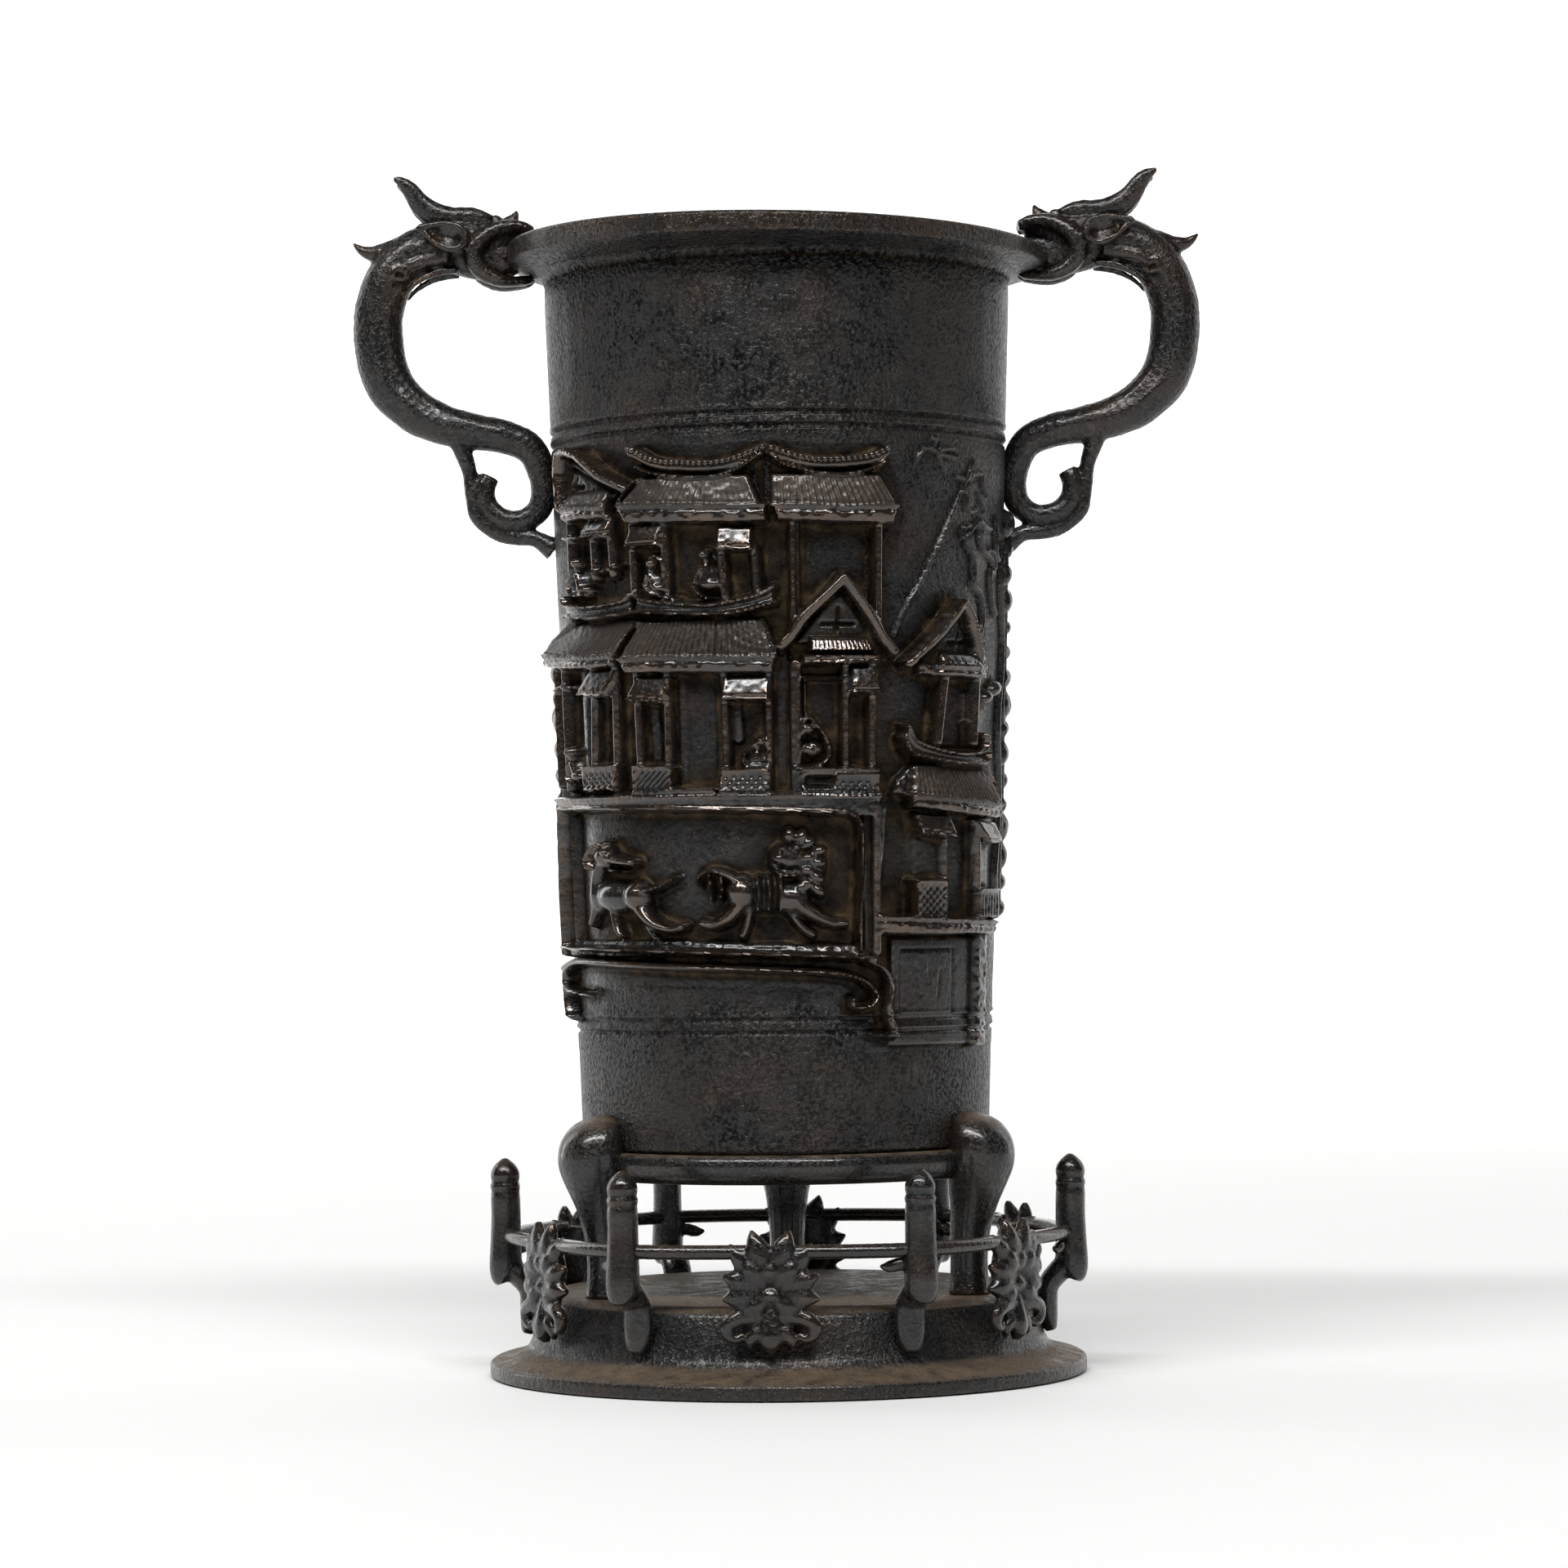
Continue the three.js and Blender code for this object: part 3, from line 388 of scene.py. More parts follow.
def blurred(field, cells):
    """A field softened over a number of cells."""
    reach = max(1, int(math.ceil(cells * 2.5)))
    kernel = np.exp(-0.5 * (np.arange(-reach, reach + 1) / cells) ** 2)
    kernel /= kernel.sum()
    for axis in (0, 1):
        pad = [(reach, reach) if k == axis else (0, 0) for k in (0, 1)]
        padded = np.pad(field, pad, mode="edge")
        size = field.shape[axis]
        field = sum(
            weight * (padded[k:k + size] if axis == 0 else padded[:, k:k + size])
            for k, weight in enumerate(kernel)
        )
    return field


def fuse(lift, height, blend=0.15):
    """Raises lift to height, with a soft join where the two are close."""
    close = np.maximum(blend - np.abs(lift - height), 0) / blend
    np.maximum(lift, height, out=lift)
    lift += close * close * blend * 0.25


def path_of(path, smooth):
    """The path as an array, curved where it is to be smooth and has more than two places."""
    return smooth_path(path, smooth) if smooth > 1 and len(path) > 2 else np.array(path, float)


OUTSIDE = -9.0  # a height that raises nothing


class WallSheet:
    """A stretch of the wall on which relief is modelled as lifts above it, in millimetres. A place
    on it is (azimuth in degrees, height), with azimuth 0 at the front and rising to the right."""

    def __init__(self, west, east, low, high, step):
        self.step = step
        self.azimuths = np.linspace(west, east, round((east - west) * DEGREE / step) + 1)
        self.heights = np.linspace(low, high, round((high - low) / step) + 1)
        self.lift = np.zeros((len(self.heights), len(self.azimuths)))
        self.ash = np.zeros_like(self.lift)  # the share of dulled, ashy skin

    def near(self, path, reach, layer=None):
        """Places of the grid points near a path, and a view of their lifts or of another layer."""
        path = np.asarray(path, float)
        low, high = path[:, 1].min() - reach, path[:, 1].max() + reach
        west, east = path[:, 0].min() - reach / DEGREE, path[:, 0].max() + reach / DEGREE
        rows = slice(*np.searchsorted(self.heights, [low, high]))
        columns = slice(*np.searchsorted(self.azimuths, [west, east]))
        across, up = np.meshgrid(self.azimuths[columns] * DEGREE, self.heights[rows])
        return across, up, (self.lift if layer is None else layer)[rows, columns]

    def cord(self, path, width, lift, round_off=2.0, smooth=4, blend=0.15, ends=(1, 1)):
        """A raised band along a path. round_off is 2 for a round section and more for a flatter
        one, and ends are the shares of its width at its two ends."""
        path = path_of(path, smooth)
        across, up, view = self.near(path, width)
        distance, share = nearest(across, up, path)
        half = width / 2 * (ends[0] + (ends[1] - ends[0]) * share)
        t = np.clip(distance / np.maximum(half, 1e-3), 0, 1)
        height = lift * (1 - t ** round_off) ** (1 / round_off)
        fuse(view, np.where(distance < half, height, OUTSIDE), blend)

    def carve(self, path, width, depth, smooth=1):
        """A round-bottomed line cut along a path."""
        path = path_of(path, smooth)
        across, up, view = self.near(path, width)
        t = np.clip(nearest(across, up, path)[0] * 2 / width, 0, 1)
        view -= depth * (1 - t * t) ** 1.5

    def plate(self, outline, lift, top_lift=None, edge=0.3, grain=0.0, seed=1):
        """A raised field with rounded edges, which may lean from its bottom to its top."""
        across, up, view = self.near(outline, 1)
        inside = depth_inside(across, up, outline)
        low, high = min(p[1] for p in outline), max(p[1] for p in outline)
        share = np.clip((up - low) / (high - low), 0, 1)
        height = lift + ((lift if top_lift is None else top_lift) - lift) * share
        t = 1 - np.clip(inside / edge, 0, 1)
        height = height - edge * 0.8 * (1 - np.sqrt(1 - t * t))
        if grain and view.size:
            height = height + grain * random_field(view.shape, 0.45 / self.step, seed)
        fuse(view, np.where(inside > 0, height, OUTSIDE), 0.1)

    def tiles(self, corners, count, height):
        """Ribs from the top edge to the eave, between top left, top right, bottom right and
        bottom left corners."""
        top_left, top_right, low_right, low_left = corners
        across, up, view = self.near(corners, 0.5)
        inside = depth_inside(across, up, corners)
        down = np.clip((top_left[1] - up) / (top_left[1] - low_left[1]), 0, 1)
        left = (top_left[0] + (low_left[0] - top_left[0]) * down) * DEGREE
        right = (top_right[0] + (low_right[0] - top_right[0]) * down) * DEGREE
        share = (across - left) / (right - left)
        wave = 0.5 + 0.5 * np.cos(2 * math.pi * count * share)
        fade = np.clip(inside / 0.4, 0, 1) * (0.55 + 0.45 * down)
        view += height * (wave ** 0.7 - 0.6) * fade

    def hump(self, place, half_wide, half_high, lift, tilt=0, blend=0.3, base=0.0):
        """A rounded swelling. base lifts all of it, for one that stands on another form."""
        across, up, view = self.near([place], max(half_wide, half_high) * 1.1)
        turn = math.radians(tilt)
        du, dz = across - place[0] * DEGREE, up - place[1]
        u = (du * math.cos(turn) + dz * math.sin(turn)) / half_wide
        z = (dz * math.cos(turn) - du * math.sin(turn)) / half_high
        q = u * u + z * z
        height = base + (lift - base) * np.maximum(1 - q, 0) ** 0.5
        fuse(view, np.where(q < 1, height, OUTSIDE), blend)


def nearest(across, up, path):
    """Distance from grid points to a path of places, and how far along it they are."""
    along = np.concatenate([[0], np.cumsum(np.hypot(*(np.diff(path, axis=0) * (DEGREE, 1)).T))])
    best = np.full(across.shape, np.inf)
    share = np.zeros(across.shape)
    for i in range(len(path) - 1):
        ax, az = path[i, 0] * DEGREE, path[i, 1]
        bx, bz = path[i + 1, 0] * DEGREE, path[i + 1, 1]
        length = max((bx - ax) ** 2 + (bz - az) ** 2, 1e-9)
        t = np.clip(((across - ax) * (bx - ax) + (up - az) * (bz - az)) / length, 0, 1)
        distance = np.hypot(across - ax - t * (bx - ax), up - az - t * (bz - az))
        closer = distance < best
        best = np.where(closer, distance, best)
        share = np.where(closer, (along[i] + t * (along[i + 1] - along[i])) / along[-1], share)
    return best, share


def depth_inside(across, up, outline):
    """How far grid points lie inside an outline of places; outside it is negative."""
    outline = np.asarray(outline, float)
    closed = np.vstack([outline, outline[:1]])
    distance = nearest(across, up, closed)[0]
    inside = np.zeros(across.shape, bool)
    for (a, az), (b, bz) in zip(closed[:-1], closed[1:]):
        ax, bx = a * DEGREE, b * DEGREE
        crosses = (az > up) != (bz > up)
        with np.errstate(divide="ignore", invalid="ignore"):
            inside ^= crosses & (across < (bx - ax) * (up - az) / (bz - az) + ax)
    return np.where(inside, distance, -distance)


# Pavilions in relief. Lifts in millimetres above the wall, as in the solids.
POST_LIFT = 2.1
LEDGE_LIFT = 2.7
EAVE_LIFT = 3.2


def oblong(west, east, low, high):
    """Corners of an upright oblong on the wall, from its lower left one to its upper left one."""
    return [(west, low), (east, low), (east, high), (west, high)]


def sagging(west, east, ends, sag):
    """A row of places that hangs between its ends."""
    return [(west + (east - west) * s, ends - sag * (1 - (2 * s - 1) ** 2))
            for s in np.linspace(0, 1, 9)]


def lip(sheet, path, width=0.6, lift=EAVE_LIFT):
    """A thin rim, notched along its length as wear leaves it."""
    sheet.cord(path, width, lift, smooth=3)
    source = np.random.default_rng(int(abs(path[0][0]) * 10 + path[0][1]))
    west, east = path[0][0], path[-1][0]
    for azimuth in np.arange(west + 0.8, east, 1.15):
        place = azimuth + source.uniform(-0.3, 0.3)
        height = np.interp(place, *np.transpose(sorted(path)))
        sheet.carve([(place, height + 0.4), (place + 0.15, height - 0.1)], 0.32,
                    source.uniform(0.1, 0.32))


def eave(sheet, top, bottom, seed=3):
    """The board under a roof, between two rows of places: a worn lip over a grainy face, and a
    thin lower lip."""
    sheet.plate([*bottom, *top[::-1]], 2.8, 2.95, edge=0.45, grain=0.12, seed=seed)
    sheet.carve([(a, z - 0.5) for a, z in top], 0.36, 0.3)
    lip(sheet, top)
    sheet.cord(bottom, 0.34, 2.95, smooth=3)


def roof_slope(sheet, corners, ribs, rib_height=0.32, grain=0.05):
    """A tiled slope, dulled by ash. Its corners run from top left to bottom left, by the right."""
    sheet.plate(corners[::-1], EAVE_LIFT - 0.15, 1.7, edge=0.4, grain=grain, seed=5)
    if ribs:
        sheet.tiles(corners, ribs, rib_height)
    across, up, ash = sheet.near(corners, 0.5, sheet.ash)
    ash[depth_inside(across, up, corners) > 0.15] = 1


def ridge(sheet, path, roll):
    """A hanging roof ridge: a bed for its beads and, under it, a plain smooth roll."""
    sheet.cord([(a, z - 0.45) for a, z in path], 1.3, 1.9, round_off=4)
    sheet.cord(roll, 0.95, 2.35, ends=(0.7, 0.7))


def post(sheet, foot, head, width=1.3):
    """A post with a slightly flattened front."""
    sheet.cord([foot, head], width, POST_LIFT, round_off=2.6)


def blind(sheet, corners, seed=7):
    """A rolled-out blind that leans from under the eave, with a thick dark lower edge."""
    (east, east_low), (west, west_low) = corners[2:]
    sheet.plate(corners[::-1], EAVE_LIFT - 0.1, 1.95, grain=0.03, seed=seed)
    sheet.cord([(west, west_low), (east, east_low)], 0.42, EAVE_LIFT)
    sheet.carve([(west + 0.4, west_low + 0.38), (east - 0.4, east_low + 0.38)], 0.26, 0.3)


def boat(sheet, upper, lower):
    """A balcony rail shaped like a boat: two rolls, with upturned ends."""
    sheet.plate([*lower, *upper[::-1]], 2.2, edge=0.2)
    sheet.cord(upper, 0.95, LEDGE_LIFT + 0.15, ends=(0.8, 1.1))
    sheet.cord(lower, 1.0, LEDGE_LIFT + 0.35, ends=(0.7, 0.9))


def lattice(sheet, corners, seed, pitch=0.95, both=True):
    """A low screen with crossed lines cut into it and a worn top rail."""
    top_left, top_right, low_right, low_left = corners
    sheet.plate(corners[::-1], 2.55, grain=0.05, seed=seed)
    west, east, low, high = low_left[0], low_right[0], low_left[1], top_left[1]
    reach = (high - low) / DEGREE
    for start in np.arange(west - reach, east, pitch / DEGREE):
        for foot, head in ((0, reach), (reach, 0)) if both else ((0, reach),):
            ends = [(start + foot, low), (start + head, high)]
            kept = [(a, z) for a, z in smooth_path(ends, 12)
                    if west + 0.6 < a < east - 0.6 and low + 0.35 < z < high - 0.5]
            if len(kept) > 3:
                sheet.carve([kept[0], kept[-1]], 0.34, 0.3)
    sheet.cord([top_left, top_right], 0.55, LEDGE_LIFT + 0.3)
    sheet.cord([low_left, low_right], 0.4, LEDGE_LIFT)


def sitter(sheet, head, chest, lap, hem, size=0.9):
    """A small robed figure with a smooth round head, a bent arm and the folds of its robe."""
    sheet.hump(((chest[0] + lap[0]) / 2, (chest[1] + lap[1]) / 2), 1.55 * size, 2.0 * size, 2.0,
               tilt=math.degrees(math.atan2(lap[0] - chest[0], 8)), blend=0.4)
    sheet.hump(lap, 2.0 * size, 1.05 * size, 2.35, blend=0.3)
    sheet.cord([(chest[0], chest[1] + 0.8), chest, lap], 1.6 * size, 2.2, ends=(0.8, 1.1),
               blend=0.3)
    sheet.cord(hem, 0.75, 2.45, ends=(1, 0.6), blend=0.2)
    sheet.carve([(a, z + 0.55) for a, z in hem], 0.3, 0.4, smooth=4)
    sheet.carve([(head[0] - 1.6, head[1] - 1.0), (head[0] + 1.6, head[1] - 1.0)], 0.35, 0.3)
    sheet.hump(head, size, 1.05 * size, 2.85, blend=0.12)


def boards(sheet, path, width=1.15):
    """Barge boards of a gable: a flat worn face with a thin rim along its outer edge."""
    sheet.cord(path, width, LEDGE_LIFT, round_off=6, smooth=1)
    sheet.cord([(a, z + 0.36) for a, z in path], 0.36, LEDGE_LIFT + 0.25, smooth=1)


def cross_lines(sheet, strokes, width=0.5):
    """The lines cut into a gable: one under its boards, and a cross."""
    for stroke in strokes:
        sheet.carve(stroke, width, 0.6)


def skirt(sheet, corners, count):
    """A short slope of close teeth under a gable."""
    sheet.plate(corners[::-1], 2.75, 2.0, edge=0.2)
    sheet.tiles(corners, count, 0.42)
    sheet.cord([corners[3], corners[2]], 0.36, LEDGE_LIFT + 0.3)


def upper_storey(sheet):
    """Three pavilions side by side under the sky."""
    # Gabled pavilion at the left
    sheet.plate([(-61.6, 104.2), (-43, 104.2), (-40.4, 105.6), (-47, 107), (-58.4, 109.8),
                 (-61.4, 109.6)], 1.2, grain=0.04)
    boards(sheet, [(-61.7, 104.2), (-62.4, 108.4), (-61, 110.3), (-58.2, 110.6), (-53.3, 109.9),
                   (-45.5, 107.2), (-38.4, 105.6)])
    cross_lines(sheet, ([(-60.0, 105), (-59.6, 108.9)],
                        [(-59.6, 109), (-47.4, 106.5), (-41, 105.1)],
                        [(-56.1, 107.5), (-58.6, 106.4)], [(-58.6, 106.3), (-53.4, 106.3)]))
    roof_slope(sheet, [(-59, 105.6), (-43.2, 105.6), (-43.2, 103.3), (-61.6, 103.5)], 0, grain=0.1)
    eave(sheet, [(-61.6, 103.9), (-52, 103.8), (-43.4, 103.5)],
         [(-59.4, 102.5), (-52, 102.4), (-43, 102.3)], 9)
    sheet.plate([(-62, 90.8), (-37, 90.8), (-43, 102.6), (-60, 102.6)], 0.5)
    for foot, head in (((-58.9, 94), (-58.9, 102)), ((-48.9, 95.4), (-49.3, 102)),
                       ((-42.6, 95.6), (-43.2, 102))):
        post(sheet, foot, head)
    blind(sheet, [(-51, 102.1), (-41.9, 102.2), (-42.9, 100.1), (-52.3, 100.2)])
    lip(sheet, [(-60.2, 100.4), (-52, 100.2), (-42.9, 100)], lift=2.9)
    sheet.cord([(-51.1, 96), (-46.4, 95.9), (-40.9, 96.4)], 0.7, LEDGE_LIFT)
    sitter(sheet, (-55.2, 97.3), (-56.2, 95.8), (-54.6, 94.0),
           [(-57.4, 96), (-60.2, 94.6), (-57.6, 93.5), (-52, 93.3)])
    boat(sheet, [(-61.6, 93.4), (-60, 92.4), (-49.2, 91.9), (-38.8, 92.3), (-36.9, 93.0)],
         [(-61.2, 91.1), (-49.3, 90.6), (-36.4, 90.9)])

    # Wide pavilion in the middle
    roof_slope(sheet, [(-33.6, 106.6), (-7, 106.6), (-3.4, 102.5), (-40.4, 102.7)], 26, 0.25, 0.06)
    sheet.cord([(-33.1, 106.5), (-35.6, 106.1), (-38, 104.9), (-40.2, 103.7)], 0.7, 2.4)
    sheet.carve([(-6.4, 107.6), (-5.8, 105.2), (-4.2, 103.2)], 0.5, 0.7, smooth=3)
    ridge(sheet, MIDDLE_RIDGE, [(-34.8, 108.0), (-30.8, 107.1), (-23.1, 106.5), (-14.7, 106.4),
                                (-8.3, 107.4), (-3.8, 108.9)])
    eave(sheet, [(-39.6, 103.5), (-23.4, 103.1), (-9.6, 102.8), (-2.6, 102.9)],
         [(-37.6, 101.5), (-23.7, 101.2), (-9.8, 101.0), (-2.8, 101.1)])
    sheet.plate([(-37.4, 91), (-3.4, 91), (-3.6, 101.4), (-37.4, 101.4)], 0.45)
    for foot, head, width in (((-36.3, 93), (-36.6, 101), 1.2), ((-27.2, 92.6), (-27.6, 101), 1.3),
                              ((-12.7, 92.4), (-13.6, 98), 1.5), ((-5.2, 92.8), (-5.8, 98), 1.3)):
        post(sheet, foot, head, width)
    blind(sheet, [(-36.5, 101.3), (-27.4, 101), (-28.4, 98.6), (-37.5, 98.6)], 11)
    blind(sheet, [(-14.4, 100.6), (-5.9, 100.4), (-6.2, 97.7), (-14.5, 97.9)], 12)
    sitter(sheet, (-30.8, 96.5), (-31.4, 95.0), (-29.8, 93.6),
           [(-32.4, 95.2), (-32.8, 93.8), (-29.5, 92.7), (-24, 92.2)])
    sheet.cord([(-31.2, 97.2), (-29.5, 97.4), (-27.9, 96.4), (-27.9, 95)], 0.6, 2.5, ends=(1, 0.5))
    sitter(sheet, (-17.6, 97.3), (-17.2, 95.7), (-16.6, 93.9),
           [(-18.6, 95.6), (-20.2, 93.8), (-18, 92.4), (-14.8, 92.2)])
    sheet.cord([(-17, 98.1), (-15.6, 97.8), (-15.2, 96.6)], 0.5, 2.4, ends=(1, 0.5))
    boat(sheet, [(-35.2, 93.2), (-33, 92.3), (-17.7, 91.4), (-8.6, 92), (-4.2, 92.6), (-1.4, 93.4)],
         [(-36, 90.9), (-17.7, 90.4), (-10.1, 90.5), (-1, 91.6)])

    # Open pavilion at the right
    roof_slope(sheet, [(-2.0, 106.6), (24.0, 106.6), (28.1, 102.5), (-2.2, 102.5)], 20, 0.35, 0.05)
    ridge(sheet, RIGHT_RIDGE, [(-0.9, 108.2), (1.1, 107.6), (5.2, 107.0), (9.3, 106.6),
                               (15.4, 106.5), (20, 106.9), (23.2, 107.5), (25.1, 108.1)])
    eave(sheet, [(-1.8, 102.8), (5, 102.8), (14.8, 102.6), (27.9, 102.9)],
         [(-0.4, 101.2), (11.9, 100.9), (26.7, 100.9)])
    post(sheet, (3.1, 89), (3.0, 101), 1.1)
    sheet.cord([(4.6, 88), (4.5, 101)], 0.5, 1.6)
    post(sheet, (23.6, 88.6), (23.6, 101), 1.25)
    sheet.carve([(22.1, 89), (22.1, 100.8)], 0.4, 0.4)
    sheet.carve([(-2.8, 109.2), (-2.6, 106.6), (-2.2, 103.4)], 0.7, 1.0, smooth=3)


def lower_storey(sheet):
    """Two long ribbed roofs over an open hall with blinds and low screens."""
    roof_slope(sheet, [(-64, 90.3), (-35.8, 90.3), (-41.7, 85.7), (-77.8, 86.4)], 26, 0.55)
    sheet.cord([(-57, 90.6), (-63, 89.4), (-71, 88.1), (-77.8, 87.3)], 0.6, 2.6)
    roof_slope(sheet, [(-35.0, 90.0), (-4.2, 89.8), (-1.0, 84.9), (-41, 85.2)], 27, 0.55)
    sheet.cord([(-4.2, 89.6), (-2.8, 88.3), (-1.0, 85.5)], 0.6, 2.7)
    sheet.cord([(-35.2, 89.9), (-37.8, 88.6), (-41.6, 86.2)], 0.5, 2.7)
    eave(sheet, [(-77.4, 87), (-64.2, 86.4), (-50.6, 86.0), (-41.4, 86.1)],
         [(-75.4, 85.5), (-54, 84.8), (-42, 84.9)], 21)
    eave(sheet, [(-41, 85.6), (-30.9, 85.6), (-10.2, 85.3), (-1.2, 85.3)],
         [(-38.8, 84.0), (-10.3, 83.6), (-1.8, 83.6)], 22)
    sheet.plate([(-72, 70.2), (-3, 70.2), (-3, 84), (-72, 85.2)], 0.35)
    for foot, head, width in (
            ((-71, 71), (-71, 85), 0.8), ((-64.9, 70.6), (-65.5, 85), 1.0),
            ((-52.1, 70.4), (-50.9, 85), 1.3), ((-43.7, 70.2), (-43.1, 84.8), 1.3),
            ((-36.1, 70), (-36.5, 84), 1.3), ((-28, 70), (-27.8, 84), 1.3),
            ((-13.1, 69.8), (-13.5, 84), 1.3), ((-2.9, 69.8), (-2.9, 84), 1.2)):
        post(sheet, foot, head, width)
    for foot, head, width in (((-57.4, 72), (-57.6, 84.6), 1.6), ((-32.2, 73), (-33, 83.8), 1.5),
                              ((-24.6, 70.6), (-24.8, 83.8), 1.2), ((-10.6, 76), (-11, 83.6), 1.4)):
        sheet.cord([foot, head], width, 1.0, round_off=5)
    sheet.plate(oblong(-23.6, -16.4, 70.6, 83.6), 0.55, edge=0.2)
    blind(sheet, [(-52.9, 84.4), (-42.2, 84.5), (-44.8, 81.2), (-56.2, 81.7)], 23)
    blind(sheet, [(-36.5, 83.4), (-26.3, 83.2), (-28.1, 80.3), (-38.8, 80.8)], 24)
    blind(sheet, [(-13.3, 83), (-2.7, 83.1), (-2.7, 80.4), (-14, 80.5)], 25)
    lip(sheet, [(-70.6, 82.6), (-66, 82.9), (-58.7, 82.7)], lift=2.6)
    lattice(sheet, [(-55.8, 73.1), (-43, 73.1), (-43, 70.3), (-55.4, 70.3)], 31)
    lattice(sheet, [(-38.1, 73.0), (-26.3, 72.7), (-26.6, 69.8), (-38, 69.8)], 32, 0.75, False)
    lattice(sheet, [(-14.5, 72.4), (-2.8, 72.2), (-2.8, 69.6), (-15.3, 69.6)], 33)
    sheet.plate(oblong(-26.5, -15.6, 69.2, 70.3), 2.5, edge=0.3)
    sheet.cord([(-26.5, 70.2), (-15.6, 70.2)], 0.5, LEDGE_LIFT + 0.2)
    sitter(sheet, (-62.3, 75), (-62.6, 73.6), (-60.6, 72.1),
           [(-64, 73.6), (-65.2, 72), (-61.6, 71.0), (-56.8, 71.0)])
    sitter(sheet, (-4.8, 75.5), (-5.8, 74), (-6, 73.2),
           [(-6.2, 75.2), (-8.5, 74.3), (-9.1, 73.2), (-7.4, 72.6), (-3.2, 72.6)], 0.85)
    sheet.plate(oblong(-1.5, 1.9, 69.4, 86), 1.1, edge=0.5)


def porch(sheet):
    """The gabled porch in the middle, with a servant behind its screen."""
    sheet.plate([(3.4, 86.9), (24.4, 86.5), (14.8, 94.0)], 1.2, 1.3, edge=0.2)
    boards(sheet, [(0.2, 86.6), (2.4, 87.6), (5.1, 89.7), (14.9, 94.4), (21.5, 89.9), (23.9, 87.7),
                   (27.1, 86.0)], 1.35)
    cross_lines(sheet, ([(3.6, 87.2), (10.3, 91.2), (14.6, 93.2), (21.1, 88.9), (23.6, 87.2)],
                        [(14, 91.1), (13.5, 88.3)], [(9.8, 89.1), (17.8, 89.1)]))
    skirt(sheet, [(7, 87.6), (20.8, 87.6), (22.4, 86.0), (6.6, 86.0)], 15)
    sheet.plate([(5.0, 84.4), (23.6, 84.5), (23.8, 85.6), (5.0, 85.6)], 2.5, grain=0.08)
    lip(sheet, [(5.1, 84.5), (23.5, 84.7)], lift=LEDGE_LIFT + 0.2)
    sheet.plate(oblong(5, 23, 69.6, 84.4), 0.35, edge=0.3)
    lip(sheet, [(5.1, 82.9), (16.2, 82.8)], 0.5, 2.6)
    sheet.cord([(3.5, 69.5), (3.5, 84.4)], 1.5, 1.8, round_off=5)
    sheet.cord([(5.7, 78), (5.7, 82.4)], 0.5, 1.9)
    post(sheet, (15.4, 72.6), (15.4, 84.2), 1.25)
    post(sheet, (22, 72.6), (22, 84.2), 1.3)
    blind(sheet, [(16.7, 84.1), (23.6, 84.3), (23.3, 81.1), (16.4, 81.1)], 41)
    sheet.cord([(5.0, 76.4), (5.2, 77.8), (6.6, 78.3), (7.9, 77.6), (10.4, 76.0), (11.4, 74.2),
                (9.7, 72.9), (5.2, 72.4)], 0.85, 2.4, blend=0.2)
    sheet.hump((6.4, 76.9), 0.85, 0.9, 2.8, blend=0.15)
    sheet.hump((7.4, 74.6), 1.5, 1.2, 2.2, blend=0.3)
    sheet.carve([(6, 75.5), (8.8, 73.8), (6.3, 73.2)], 0.3, 0.4, smooth=4)
    lip(sheet, [(3.3, 72.4), (12.5, 72.3), (23.5, 72.2)], 0.5, LEDGE_LIFT + 0.2)
    sheet.plate([(4.6, 69), (23.8, 68.9), (23.8, 72.2), (4.6, 72.2)], 2.45, edge=0.3)
    sheet.carve([(6.4, 70.8), (13.8, 70.8)], 1.9, 1.0)
    lattice(sheet, [(12.6, 71.6), (23.6, 71.6), (23.6, 68.9), (12.2, 68.9)], 42)


